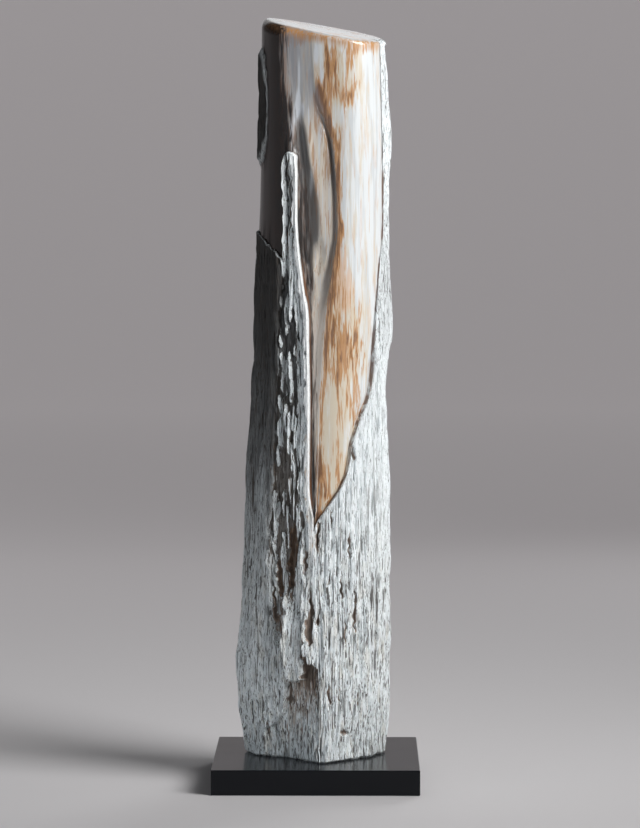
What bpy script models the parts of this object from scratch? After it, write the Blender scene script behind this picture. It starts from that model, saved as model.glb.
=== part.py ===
"""A free-standing column of petrified wood on a square black plinth.

Metres, +Z up. The origin is the centre of the plinth's underside, and the column's
polished front faces -Y. The column is one stone: raw fossil grain below, ground and
polished above, with a long carved channel between the raw skin's edges. It is a UV sphere
whose rings become the column's sections, thinned afterwards where the stone is smooth.
"""

import math

import bmesh
import bpy
import numpy as np

MM = 0.001

# Plinth: a square block with a fine edge.
PLINTH_SIDE = 245 * MM
PLINTH_HEIGHT = 30 * MM
PLINTH_EDGE = 0.8 * MM
PLINTH_EDGE_SEGMENTS = 2

# Column, overall. The gap keeps the two solids apart where the stone stands on the plinth.
SEAT_GAP = 0.3 * MM
FOOT_Z = PLINTH_HEIGHT + SEAT_GAP
FOOT_CHIP = 5 * MM
TOP_CENTRE_Z = 899 * MM
TOP_FALL_RIGHT = 0.178
TOP_RISE_BACK = 0.143
RIM_TIGHT = 5 * MM
RIM_LOOSE = 15 * MM
RIM_LOOSENS_X = (-10, 60)
RIM_LOOSENS_Y = (-10, 30)

# Rings and thinning. The columns crowd towards the carved front by FRONT_CROWDING.
COLUMNS = 220
FRONT_CROWDING = 0.38
FOOT_RINGS = 4
SIDE_RINGS = 300
RIM_RINGS = 5
TOP_RINGS = 5
COLUMN_TRIANGLES = 9400

# The raw stone's outlines seen from the front, as (height, x) in millimetres. The polished
# stone lies SKIN_PROUD inside them.
OUTLINE_LEFT = (
    (30, -88), (50, -92.5), (106, -99), (135, -101), (176, -96), (214, -92.5), (273, -88.4),
    (322, -87), (376, -86), (412, -83.5), (454, -82.2), (530, -78), (626, -76), (700, -73),
    (796, -71.6), (857, -71.4), (912, -71),
)
OUTLINE_RIGHT = (
    (30, 85.5), (76, 89), (133, 91.3), (214, 91.5), (285, 91.5), (330, 90), (402, 87.4),
    (489, 85.7), (517, 87.4), (554, 91.2), (610, 89), (694, 88), (741, 89), (780, 90.4),
    (835, 87.5), (864, 86), (880, 85), (912, 83.5),
)

# The section at six heights: twelve corners from the left outline round the front, right and
# back, as (x, y) in millimetres. The outlines above set the final width.
SECTIONS = {
    30: ((-87, 5), (-66, -27), (-33, -46), (5, -79), (40, -56), (68, -28),
         (84, 8), (75, 42), (44, 62), (4, 68), (-40, 60), (-75, 38)),
    150: ((-98, 4), (-76, -34), (-40, -58), (3, -79), (42, -61), (73, -34),
          (90, 6), (80, 44), (46, 66), (4, 72), (-44, 64), (-84, 40)),
    300: ((-88, 4), (-71, -31), (-40, -56), (-4, -72), (38, -66), (74, -38),
          (92, 2), (82, 42), (48, 64), (2, 70), (-44, 60), (-78, 36)),
    480: ((-81, 2), (-68, -28), (-42, -54), (-4, -68), (36, -67), (70, -40),
          (86, 0), (76, 38), (44, 58), (2, 64), (-40, 56), (-72, 34)),
    660: ((-74, 4), (-66, -24), (-43, -50), (-4, -62), (36, -66), (72, -42),
          (88, -2), (78, 34), (46, 54), (4, 60), (-36, 52), (-66, 32)),
    890: ((-66, 6), (-61, -20), (-42, -44), (-6, -56), (32, -61), (64, -43),
          (80, -4), (72, 30), (42, 50), (4, 56), (-32, 50), (-58, 32)),
}
CORNERS = 12

# Where the raw skin ends against the polished stone, as (height, x) in millimetres.
SKIN_RIGHT = (
    (306, -2.6), (317, 1.3), (328, 9.2), (341, 18.7), (357, 29.8), (375, 37.7), (391, 40.8),
    (412, 44.8), (428, 50.3), (443, 56.6), (459, 63.8), (470, 66.9), (494, 70.1), (541, 71.1),
    (577, 73.2), (624, 76.4), (659, 80), (695, 80.3), (813, 78), (872, 76.8),
)
SKIN_LEFT = (
    (306, -2.6), (320, -3.5), (336, -6.5), (360, -8.5), (459, -8.5), (517, -9.5), (564, -10.5),
    (583, -13.7), (611, -17.6), (635, -20), (675, -21.6), (719, -21.3), (741, -22.8),
)
# The raw finger that reaches up the front: its left side, its rounded tip, and the height
# that the raw skin reaches further left, as (x, height).
FINGER_LEFT = ((600, -39), (643, -39), (667, -38.2), (704, -38.5), (726, -39.9), (746, -39.2))
FINGER_TIP = 752
FINGER_ROUND = 8
LEFT_SHOULDER = ((-80, 660), (-60, 642), (-45, 630), (-36, 618))

# The skin's end near the top on the right, an island of skin high on the left as (x, height,
# half width, half height), and the waved edges of the polished band round the back.
SKIN_TOP_RIGHT = 880
LEFT_PATCH = (-70, 806, 8, 69)
FRONT_REACHES_Y = 6
BACK_EDGE_Z = 846
BACK_EDGE_WAVES = ((11, 27, 0.9), (5, 11, 2.1))
BACK_WRAP_Y = (38, -16)
BACK_WRAP_WAVE = (5, 33)
SKIN_SOFTNESS = 1.0

# How far the raw skin stands proud of the polished stone: left, right, and over which x.
SKIN_PROUD = (6.0, 4.5)
PROUD_FALLS = (-20, 40)

# The carved folds: each line runs up the front as (height, x, depth) in millimetres.
FOLDS_START = (300, 312)
CREST_INSET = 1.0
FOLD_CREST = (
    (306, -4), (450, -10), (583, -15.5), (700, -23), (754, -33), (777, -34.8), (798, -35.7),
    (816, -41), (847, -46), (900, -47),
)
VALLEY_LEFT = (
    (308, -2.6, 2), (341, -4.6, 7), (400, -4.8, 11), (564, -4.8, 13), (606, -5.8, 12.5),
    (632, -8.2, 12), (659, -9.4, 12), (695, -11.7, 11.5), (730, -15.3, 10), (754, -17.6, 9),
    (777, -18.8, 6), (793, -20.6, 2.5), (830, -22, 1.2), (870, -23, 0.6),
)
RIDGE_LEFT = (
    (308, -2.5, 2.2), (341, -4.2, 7.2), (400, -4.2, 11.2), (564, -3.5, 13.2), (585, 0.4, 11.5),
    (606, 1.9, 8), (632, 3.6, 5.5), (659, 4.2, 4), (695, 1.9, 3), (730, -5.2, 2.2),
    (754, -9.4, 1.6), (777, -14.1, 1), (793, -18.8, 0.8), (830, -18, 1.2), (870, -18, 0.8),
)
RIDGE_RIGHT = (
    (308, -2.4, 2.2), (341, -3.8, 7.2), (400, -3.4, 11.2), (564, -2.4, 13.2), (585, 3, 12),
    (606, 7.2, 9), (632, 11.9, 6.5), (659, 16.6, 4.8), (695, 16, 4), (730, 13.7, 3.5),
    (754, 11.3, 3), (777, 6, 2), (804, -5.8, 1.2), (830, -10, 1.4), (870, -10, 1),
)
VALLEY_RIGHT = (
    (308, -2.3, 2.2), (341, -3.4, 7.2), (400, -2.8, 11.2), (541, 2.4, 13), (564, 6, 13),
    (591, 11.3, 12.5), (625, 17.3, 12), (659, 22.3, 11.5), (699, 21.1, 11), (730, 18.4, 10),
    (750, 16.6, 9), (768, 13.1, 7), (804, 0.7, 3), (830, -5.8, 2), (870, -5, 1.2),
)
BROAD_CREST = (
    (305, -2.2), (346, -0.2), (400, 1.3), (459, 3), (518, 7.8), (541, 10.1), (564, 11.9),
    (591, 16), (625, 21.3), (659, 26), (699, 24.9), (730, 22.5), (750, 20.7), (769, 17.8),
    (804, 6), (830, 2.4), (870, 3),
)

# Raw grain: how far it cuts in, its spacing round the stone and along it, in millimetres.
# The ribs between the creases stand GRAIN_SWELL outside the outlines.
GRAIN_LAYERS = ((3.6, 15, 190, 11), (2.0, 7.5, 95, 23))
GRAIN_SWELL = 2.2
GRAIN_ON_RIGHT = 0.4
GRAIN_FADES_X = (0, 35)

# The smooth flank along the left skin edge, as (height, width): no grain cuts into it.
FLANK_WIDTH = ((290, 14), (390, 12), (520, 9.5), (620, 4.5), (740, 2))
FLANK_STARTS = (265, 290)
FLANK_SOFTNESS = (1, 3)

# The split zone left of the flank, where the skin has come away and splinters still stand.
SPLIT_LEFT = ((225, -52), (300, -54), (400, -50), (520, -47), (640, -40))
SPLIT_ENDS = (228, 246, 590, 625)
SPLIT_DEPTH = 6.0
SPLIT_WALLS = (4, 1.5)
SPLINTERS = (
    # left edge x, lowest height, highest height, width, rise
    (-42, 605, 626, 4, 6),
    (-41, 532, 586, 6, 6.5),
    (-31, 530, 632, 9, 6.5),
    (-27, 533, 549, 7, 6.5),
    (-25, 486, 535, 4, 6),
    (-36, 450, 519, 7, 6.5),
    (-45, 459, 519, 6, 6),
    (-47.5, 386, 458, 7, 6),
    (-38, 413, 450, 8, 5.5),
    (-24, 341, 494, 10, 6.5),
    (-32, 341, 401, 8, 6),
    (-64, 334, 368, 7, 3),
    (-52, 268, 353, 5, 6),
    (-53, 211, 272, 5, 6),
    (-43, 239, 304, 8, 6.5),
)
SPLINTER_WANDER = (1.4, 17)
SPLINTER_TAPER = 1.8
SPLINTER_CLIFF = (-0.15, 0.03)

# The broken place low on the front, in millimetres.
RECESS_TOP = ((-42, 126), (-38, 126), (-21, 132), (-13.5, 146), (2, 143), (8, 126))
RECESS_LEFT_WALL = (-41, -37)
RECESS_RIGHT_WALL = (0.5, 3.5)
RECESS_ROOF = 3.0
RECESS_DEPTH = (11.0, 3.0)
RECESS_FOOT = (40, 135)
HOLLOW_RIM = (0.5, 1.1)
FISSURE_RIM = (0.2, 1.1)
HOLLOWS = (
    # x, height, half width, half length, depth
    (-42, 203, 11, 33, 7.5),
    (-28, 280, 8, 52, 9.0),
)
FISSURES = (
    (47, 206, 2.2, 38, 5.0),
    (32, 237, 2.2, 19, 4.5),
    (16, 248, 2.2, 9, 4.0),
    (36, 186, 1.6, 20, 3.5),
    (41, 290, 2.2, 24, 3.5),
    (3, 199, 2.8, 10, 5.0),
    (-7, 218, 3.2, 28, 5.0),
    (2, 297, 3.4, 26, 5.0),
    (-13, 266, 3.4, 26, 4.0),
    (19, 318, 1.8, 16, 3.5),
    (18, 108, 3.2, 17, 4.5),
    (29, 112, 1.6, 13, 3.5),
    (52, 101, 2.2, 13, 4.0),
    (37, 64, 5.5, 5, 3.5),
    (-33, 690, 1.5, 58, 3.5),
)

STONE_COLOUR = (0.62, 0.60, 0.56, 1.0)
STONE_ROUGHNESS = 0.7
LACQUER_COLOUR = (0.006, 0.007, 0.009, 1.0)
LACQUER_ROUGHNESS = 0.18
SMOOTH_ANGLE = math.radians(35)


def clear_scene():
    for old in list(bpy.data.objects):
        bpy.data.objects.remove(old, do_unlink=True)


def ease(low, high, value):
    """0 below low, 1 above high, and a smooth climb between."""
    share = np.clip((value - low) / (high - low), 0.0, 1.0)
    return share * share * (3 - 2 * share)


def through(points, column=1):
    """A smooth curve of the given column over the first, with no overshoot between points."""
    at = np.array([p[0] for p in points], float)
    value = np.array([p[column] for p in points], float)
    gap = np.diff(at)
    rise = np.diff(value) / gap
    slope = np.zeros(len(at))
    same_way = rise[:-1] * rise[1:] > 0
    near = 2 * gap[1:] + gap[:-1]
    far = gap[1:] + 2 * gap[:-1]
    with np.errstate(divide="ignore", invalid="ignore"):
        mean = (near + far) / (near / rise[:-1] + far / rise[1:])
    slope[1:-1] = np.where(same_way, mean, 0.0)

    def curve(place):
        place = np.clip(place, at[0], at[-1])
        i = np.clip(np.searchsorted(at, place) - 1, 0, len(gap) - 1)
        t = (place - at[i]) / gap[i]
        return (
            value[i] * (1 + 2 * t) * (1 - t) ** 2
            + slope[i] * gap[i] * t * (1 - t) ** 2
            + value[i + 1] * t * t * (3 - 2 * t)
            + slope[i + 1] * gap[i] * t * t * (t - 1)
        )

    return curve


def lattice(ix, iy, iz, seed):
    """A repeatable number from 0 to 1 for each whole-number place."""
    mixed = (ix * 374761393 + iy * 668265263 + iz * 2147483647 + seed * 1274126177) & 0xFFFFFFFF
    mixed = ((mixed ^ (mixed >> 13)) * 1274126177) & 0xFFFFFFFF
    return ((mixed ^ (mixed >> 16)) & 0xFFFFFF) / 0xFFFFFF


def noise(x, y, z, seed):
    """Smooth noise from 0 to 1, with one swing for each unit."""
    corner = [np.floor(v).astype(np.int64) for v in (x, y, z)]
    part = [v - c for v, c in zip((x, y, z), corner)]
    part = [v * v * (3 - 2 * v) for v in part]
    total = 0.0
    for dx in (0, 1):
        for dy in (0, 1):
            for dz in (0, 1):
                weight = 1.0
                for step, v in zip((dx, dy, dz), part):
                    weight = weight * (v if step else 1 - v)
                total = total + weight * lattice(corner[0] + dx, corner[1] + dy, corner[2] + dz, seed)
    return total


def grain(x, y, z, across, along, seed):
    """Long creases with the grain: 1 at the bottom of a crease, 0 on the ribs between."""
    value = noise(x / across, y / across, z / along, seed)
    return (1 - np.abs(2 * value - 1)) ** 2


def sections_at(heights):
    """The section at each height in millimetres: COLUMNS points on a closed curve through its corners."""
    stations = sorted(SECTIONS)
    corners = np.empty((len(heights), CORNERS, 2))
    for k in range(CORNERS):
        for axis in (0, 1):
            corners[:, k, axis] = through([(z, SECTIONS[z][k][axis]) for z in stations])(heights)
    share = np.arange(COLUMNS) / COLUMNS
    share = share - FRONT_CROWDING / math.tau * np.sin(math.tau * (share - 0.25))
    place = share * CORNERS
    i = np.floor(place).astype(int)
    t = (place - i)[None, :, None]
    before, start, end, after = (corners[:, (i + k) % CORNERS] for k in (-1, 0, 1, 2))
    points = 0.5 * (
        2 * start
        + (end - before) * t
        + (2 * before - 5 * start + 4 * end - after) * t**2
        + (3 * start - before - 3 * end + after) * t**3
    )
    left = through(OUTLINE_LEFT)(heights)[:, None]
    right = through(OUTLINE_RIGHT)(heights)[:, None]
    low = points[..., 0].min(axis=1, keepdims=True)
    high = points[..., 0].max(axis=1, keepdims=True)
    points[..., 0] = left + (points[..., 0] - low) * (right - left) / (high - low)
    return points


def outward(points):
    """The unit normal of a closed section at each of its points, pointing out of the stone."""
    along = np.roll(points, -1, axis=-2) - np.roll(points, 1, axis=-2)
    normal = np.stack([along[..., 1], -along[..., 0]], axis=-1)
    return normal / np.linalg.norm(normal, axis=-1, keepdims=True)


def raw_share(x, y, z):
    """How raw the surface is: 1 on the raw skin and 0 on the polished stone."""
    right = np.minimum(x - through(SKIN_RIGHT)(z), SKIN_TOP_RIGHT - z)
    left_edge = through(SKIN_LEFT)(z) - x
    finger = np.minimum(left_edge, x - through(FINGER_LEFT)(z))
    short = np.maximum(FINGER_ROUND - finger, 0)
    tip = FINGER_ROUND - np.hypot(short, np.maximum(z - FINGER_TIP + FINGER_ROUND, 0))
    below = np.minimum(left_edge, through(LEFT_SHOULDER)(x) - z)
    patch_x, patch_z, patch_wide, patch_tall = LEFT_PATCH
    patch = (1 - np.hypot((x - patch_x) / patch_wide, (z - patch_z) / patch_tall)) * patch_wide
    foot = SKIN_RIGHT[0][0] - z
    seen = np.maximum.reduce([right, tip, below, patch, foot])
    back_z = BACK_EDGE_Z + sum(tall * np.sin(x / long + turn) for tall, long, turn in BACK_EDGE_WAVES)
    tall, long = BACK_WRAP_WAVE
    wrap = np.where(x < 0, BACK_WRAP_Y[0] + tall * np.sin(z / long), BACK_WRAP_Y[1])
    behind = np.minimum(back_z - z, y - wrap)
    turned_away = np.maximum(behind, np.where(x > 0, right, below))
    distance = np.where(y < FRONT_REACHES_Y, np.maximum(seen, behind), turned_away)
    return ease(-SKIN_SOFTNESS, SKIN_SOFTNESS, distance)


def fold_depth(x, z):
    """How deep the carved folds lie at this place on the front, in millimetres."""
    crest = through(FOLD_CREST)(z)
    crest = np.where(z > FINGER_TIP, crest, np.minimum(crest, through(SKIN_LEFT)(z) - CREST_INSET))
    lines = [(crest, 0 * z)]
    for line in (VALLEY_LEFT, RIDGE_LEFT, RIDGE_RIGHT, VALLEY_RIGHT):
        lines.append((through(line)(z), through(line, 2)(z)))
    lines.append((through(BROAD_CREST)(z), 0 * z))
    depth = np.zeros_like(x)
    for (x0, depth0), (x1, depth1) in zip(lines, lines[1:]):
        share = ease(0, 1, (x - x0) / np.maximum(x1 - x0, 0.2))
        depth = np.where((x >= x0) & (x < x1), depth0 + (depth1 - depth0) * share, depth)
    return depth * ease(*FOLDS_START, z)


def flank_share(x, z):
    """1 on the smooth flank beside the left skin edge and right of it, 0 on the raw stone."""
    edge = through(SKIN_LEFT)(z) - through(FLANK_WIDTH)(z)
    left_soft, right_soft = FLANK_SOFTNESS
    begins = ease(-left_soft, left_soft, x - edge) * ease(*FLANK_STARTS, z)
    return begins * (1 - ease(0, right_soft, x - through(SKIN_LEFT)(z)))


def split_depth(x, z):
    """How deep the split zone lies, with its splinters standing in it, in millimetres."""
    left = through(SPLIT_LEFT)(z)
    low, low_full, high_full, high = SPLIT_ENDS
    right = through(SKIN_LEFT)(z) - through(FLANK_WIDTH)(z)
    left_wall, right_wall = SPLIT_WALLS
    zone = ease(left, left + left_wall, x) * (1 - ease(right - right_wall, right, x))
    depth = SPLIT_DEPTH * zone * ease(low, low_full, z) * (1 - ease(high_full, high, z))
    sway, long = SPLINTER_WANDER
    for number, (edge, bottom, top, wide, rise) in enumerate(SPLINTERS):
        wander = sway * (2 * noise(0 * z + number, 0 * z, z / long, number) - 1)
        reach = SPLINTER_TAPER * wide
        full = np.clip(np.minimum(z - bottom, top - z) / reach, 0.0, 1.0) ** 0.5
        across = (x - edge - wander) / np.maximum(wide * full, 0.1)
        ramp = ease(*SPLINTER_CLIFF, across) * np.clip(1 - across, 0, 1)
        depth = depth - rise * ramp * full
    return np.maximum(depth, 0.0)


def broken_depth(x, z):
    """The recess, the hollows and the long fissures on the front, in millimetres."""
    top = through(RECESS_TOP)(x)
    inside = ease(*RECESS_LEFT_WALL, x) * (1 - ease(*RECESS_RIGHT_WALL, x))
    deep, shallow = RECESS_DEPTH
    under_roof = 1 - ease(top - RECESS_ROOF, top, z)
    depth = (shallow + (deep - shallow) * ease(*RECESS_FOOT, z)) * inside * under_roof
    for pits, rim in ((HOLLOWS, HOLLOW_RIM), (FISSURES, FISSURE_RIM)):
        for pit_x, pit_z, wide, tall, deepest in pits:
            pit = 1 - ease(*rim, np.hypot((x - pit_x) / wide, (z - pit_z) / tall))
            depth = np.maximum(depth, deepest * pit)
    return depth


def relief(x, y, z):
    """How far the surface stands off the plain section, in millimetres."""
    raw = raw_share(x, y, z)
    front = np.where(y < 0, 1.0, 0.0)
    proud_left, proud_right = SKIN_PROUD
    polished = proud_left + (proud_right - proud_left) * ease(*PROUD_FALLS, x) + fold_depth(x, z) * front
    cut = -GRAIN_SWELL
    for depth, across, along, seed in GRAIN_LAYERS:
        cut = cut + depth * grain(x, y, z, across, along, seed)
    quiet = (1 - GRAIN_ON_RIGHT) * ease(*GRAIN_FADES_X, x)
    cut = cut * (1 - np.maximum(flank_share(x, z), quiet) * front)
    carved = np.maximum(split_depth(x, z), broken_depth(x, z)) * front
    return -polished * (1 - raw) - (cut + carved) * raw


def column_rings():
    """Every ring of the column from foot to top, and the middles of its two ends, in metres."""
    foot = FOOT_Z / MM
    top_plane = TOP_CENTRE_Z / MM
    share = np.linspace(0, 1, SIDE_RINGS)[:, None]
    sections = sections_at(foot + share[:, 0] * (top_plane - foot))
    x, y = sections[..., 0], sections[..., 1]
    loose = ease(*RIM_LOOSENS_X, -x) * (1 - ease(*RIM_LOOSENS_Y, y))
    rim = (RIM_TIGHT + (RIM_LOOSE - RIM_TIGHT) * loose) / MM
    z = foot + share * (top_at(sections) - rim - foot)
    points = sections + outward(sections) * relief(x, y, z)[..., None]
    side = np.concatenate([points, z[..., None]], axis=-1)

    edge, edge_rim = points[-1], rim[-1]
    way_in = -outward(edge)
    rings = []
    for turn in np.linspace(0, math.pi / 2, RIM_RINGS + 1)[1:]:
        inset = edge + way_in * (edge_rim * (1 - math.cos(turn)))[:, None]
        rings.append(np.column_stack([inset, top_at(inset) - edge_rim * (1 - math.sin(turn))]))
    middle = edge.mean(axis=0)
    for keep in np.linspace(1, 0, TOP_RINGS + 2)[1:-1]:
        inset = middle + (rings[RIM_RINGS - 1][:, :2] - middle) * keep
        rings.append(np.column_stack([inset, top_at(inset)]))

    chip = FOOT_CHIP / MM
    lowest = points[0] - outward(points[0]) * (chip / 2)
    centre = lowest.mean(axis=0)
    side[0, :, 2] += chip / 2
    base = [
        np.column_stack([centre + (lowest - centre) * keep, np.full(COLUMNS, foot)])
        for keep in np.linspace(0, 1, FOOT_RINGS + 1)[1:]
    ]
    return np.stack([*base, *side, *rings]) * MM, centre * MM, middle * MM


def top_at(places):
    """The height of the polished top over these (x, y) places, in millimetres."""
    return TOP_CENTRE_Z / MM - TOP_FALL_RIGHT * places[..., 0] + TOP_RISE_BACK * places[..., 1]


def make_column(collection, material):
    rings, foot_centre, top_centre = column_rings()
    bm = bmesh.new()
    bmesh.ops.create_uvsphere(bm, u_segments=COLUMNS, v_segments=len(rings) + 1, radius=1.0)
    for vertex in bm.verts:
        level = round((1 - math.acos(max(-1.0, min(1.0, vertex.co.z))) / math.pi) * (len(rings) + 1))
        turn = math.atan2(vertex.co.y, vertex.co.x) + math.pi
        if level <= 0:
            vertex.co = (*foot_centre, FOOT_Z)
        elif level > len(rings):
            vertex.co = (*top_centre, top_at(top_centre / MM) * MM)
        else:
            vertex.co = rings[level - 1][round(turn / math.tau * COLUMNS) % COLUMNS]
    bmesh.ops.recalc_face_normals(bm, faces=bm.faces)
    mesh = bpy.data.meshes.new("column")
    bm.to_mesh(mesh)
    bm.free()
    column = bpy.data.objects.new("column", mesh)
    collection.objects.link(column)
    triangles = sum(len(face.vertices) - 2 for face in mesh.polygons)
    thin = column.modifiers.new("thin where smooth", "DECIMATE")
    thin.ratio = COLUMN_TRIANGLES / triangles
    thin.use_collapse_triangulate = True
    mesh.shade_smooth()
    mesh.set_sharp_from_angle(angle=SMOOTH_ANGLE)
    mesh.materials.append(material)
    return column


def make_plinth(collection, material):
    bpy.ops.mesh.primitive_cube_add(size=1.0)
    plinth = bpy.context.object
    plinth.name = "plinth"
    plinth.data.name = "plinth"
    plinth.scale = (PLINTH_SIDE, PLINTH_SIDE, PLINTH_HEIGHT)
    bpy.ops.object.transform_apply(location=False, rotation=False, scale=True)
    plinth.location = (0, 0, PLINTH_HEIGHT / 2)
    edge = plinth.modifiers.new("fine edge", "BEVEL")
    edge.width = PLINTH_EDGE
    edge.segments = PLINTH_EDGE_SEGMENTS
    for holder in list(plinth.users_collection):
        holder.objects.unlink(plinth)
    collection.objects.link(plinth)
    plinth.data.materials.append(material)
    return plinth


def make_material(name, colour, roughness):
    material = bpy.data.materials.new(name)
    material.use_nodes = True
    shader = material.node_tree.nodes["Principled BSDF"]
    shader.inputs["Base Color"].default_value = colour
    shader.inputs["Roughness"].default_value = roughness
    shader.inputs["Metallic"].default_value = 0.0
    return material


def main():
    clear_scene()
    collection = bpy.data.collections.new("petrified wood column")
    bpy.context.scene.collection.children.link(collection)
    make_plinth(collection, make_material("black lacquer", LACQUER_COLOUR, LACQUER_ROUGHNESS))
    make_column(collection, make_material("petrified wood", STONE_COLOUR, STONE_ROUGHNESS))


main()
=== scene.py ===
"""Dressed scene of a free-standing petrified wood column on a black lacquered plinth.

Metres, +Z up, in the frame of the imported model. The column's polished, carved front faces
-Y. The stone's own form is worked out in millimetres and turned into metres when its mesh
is made.
"""

import logging
import math
from collections.abc import Callable
from dataclasses import dataclass, field
from enum import Enum

import bmesh
import bpy
import numpy as np
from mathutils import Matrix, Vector


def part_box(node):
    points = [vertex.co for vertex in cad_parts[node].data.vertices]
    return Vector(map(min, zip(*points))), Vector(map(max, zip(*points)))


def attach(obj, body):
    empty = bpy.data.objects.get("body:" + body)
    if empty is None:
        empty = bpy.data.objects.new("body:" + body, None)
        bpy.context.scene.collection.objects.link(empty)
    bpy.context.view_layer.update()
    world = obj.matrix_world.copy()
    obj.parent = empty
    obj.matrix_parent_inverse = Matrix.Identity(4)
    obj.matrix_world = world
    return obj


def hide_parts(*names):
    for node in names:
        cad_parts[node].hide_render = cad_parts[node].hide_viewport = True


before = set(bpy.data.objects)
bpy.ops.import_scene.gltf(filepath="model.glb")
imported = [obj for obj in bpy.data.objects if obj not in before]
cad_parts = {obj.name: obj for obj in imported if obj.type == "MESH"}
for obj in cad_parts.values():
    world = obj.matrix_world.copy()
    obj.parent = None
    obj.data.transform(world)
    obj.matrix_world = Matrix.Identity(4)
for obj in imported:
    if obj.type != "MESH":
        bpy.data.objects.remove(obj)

LOG = logging.getLogger("petrified wood")
MM = 0.001
BODY = "root"

Array = np.ndarray
Values = Array | float
Colour = tuple[float, float, float]
Points = tuple[tuple[float, ...], ...]
Span = tuple[float, float]


# ---------------------------------------------------------------- numbers, curves and noise


def ease(low: Values, high: Values, value: Array) -> Array:
    """0 below low, 1 above high, and a smooth climb between."""
    share = np.clip((value - low) / (high - low), 0.0, 1.0)
    return share * share * (3 - 2 * share)


def between(low: Values, low_full: Values, high_full: Values, high: Values, value: Array) -> Array:
    """0 outside low and high, 1 between the two full places, and smooth in between."""
    return ease(low, low_full, value) * (1 - ease(high_full, high, value))


def bell(value: Array, middle: Values, reach: float) -> Array:
    """A rounded bump: 1 at the middle and near 0 beyond twice its reach."""
    return np.exp(-(((value - middle) / reach) ** 2))


def rows(kind: type, *values: tuple[float, ...]) -> tuple:
    """One object of that kind for each row of values."""
    return tuple(kind(*row) for row in values)


class Curve:
    """A smooth curve through given points, with no overshoot between them."""

    def __init__(self, *points: tuple[float, ...], column: int = 1) -> None:
        """Prepare the curve.

        Args:
            points: rows whose first number is the place, in rising order.
            column: which number of each row is the curve's value.
        """
        self.at = np.array([p[0] for p in points], float)
        self.value = np.array([p[column] for p in points], float)
        self.gap = np.diff(self.at)
        rise = np.diff(self.value) / self.gap
        near = 2 * self.gap[1:] + self.gap[:-1]
        far = self.gap[1:] + 2 * self.gap[:-1]
        self.slope = np.zeros(len(self.at))
        with np.errstate(divide="ignore", invalid="ignore"):
            mean = (near + far) / (near / rise[:-1] + far / rise[1:])
        self.slope[1:-1] = np.where(rise[:-1] * rise[1:] > 0, mean, 0.0)

    def __call__(self, place: Array) -> Array:
        """Read the curve, which is held level beyond its two ends.

        Args:
            place: where to read it.

        Returns:
            Its value at each place.
        """
        place = np.clip(place, self.at[0], self.at[-1])
        i = np.clip(np.searchsorted(self.at, place) - 1, 0, len(self.gap) - 1)
        gap = self.gap[i]
        t = (place - self.at[i]) / gap
        return (
            self.value[i] * (1 + 2 * t) * (1 - t) ** 2
            + self.slope[i] * gap * t * (1 - t) ** 2
            + self.value[i + 1] * t * t * (3 - 2 * t)
            + self.slope[i + 1] * gap * t * t * (t - 1)
        )


def lattice(ix: Array, iy: Array, iz: Array, seed: int) -> Array:
    """A repeatable number for each whole-number place.

    Args:
        ix, iy, iz: the places.
        seed: which of the endless lattices to read.

    Returns:
        Numbers from 0 to 1.
    """
    mixed = (ix * 374761393 + iy * 668265263 + iz * 2147483647 + seed * 1274126177) & 0xFFFFFFFF
    mixed = ((mixed ^ (mixed >> 13)) * 1274126177) & 0xFFFFFFFF
    return ((mixed ^ (mixed >> 16)) & 0xFFFFFF) / 0xFFFFFF


def noise(x: Values, y: Values, z: Values, seed: int) -> Array:
    """Smooth noise from 0 to 1, with one swing for each unit.

    Args:
        x, y, z: where to read it.
        seed: which of the endless noises to read.

    Returns:
        The noise at each place.
    """
    corner = [np.floor(v).astype(np.int64) for v in (x, y, z)]
    part = [v - c for v, c in zip((x, y, z), corner)]
    part = [v * v * (3 - 2 * v) for v in part]
    total = np.zeros(np.broadcast(x, y, z).shape)
    for dx in (0, 1):
        for dy in (0, 1):
            for dz in (0, 1):
                weight = 1.0
                for step, v in zip((dx, dy, dz), part):
                    weight = weight * (v if step else 1 - v)
                total += weight * lattice(corner[0] + dx, corner[1] + dy, corner[2] + dz, seed)
    return total


@dataclass(frozen=True)
class Grain:
    """One layer of noise drawn out along the wood's grain, in millimetres."""

    depth: float
    across: float
    along: float
    seed: int

    def read(self, x: Values, y: Values, z: Values) -> Array:
        """The layer's plain noise, from 0 to 1."""
        return noise(x / self.across, y / self.across, z / self.along, self.seed)

    def sway(self, x: Values, y: Values, z: Values) -> Array:
        """How far it pushes to either side."""
        return self.depth * (2 * self.read(x, y, z) - 1)

    def creases(self, x: Array, y: Array, z: Array) -> Array:
        """How deep long creases cut in between rounded ribs."""
        return self.depth * (1 - np.abs(2 * self.read(x, y, z) - 1)) ** 2

    def pits(self, x: Array, y: Array, z: Array, share: float) -> Array:
        """How deep short pits cut in, where the given share of the surface has none."""
        return self.depth * ease(share, share + 0.16, self.read(x, y, z))

    def steps(self, x: Array, y: Array, z: Array, levels: int) -> Array:
        """Broken layers, as flat steps with short walls between them.

        Args:
            x, y, z: places on the plain sections.
            levels: how many steps there are.

        Returns:
            How deep they lie, in millimetres.
        """
        height = self.read(x, y, z) * levels
        whole = np.floor(height)
        return self.depth * (whole + ease(0.0, 0.14, height - whole)) / levels


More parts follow.
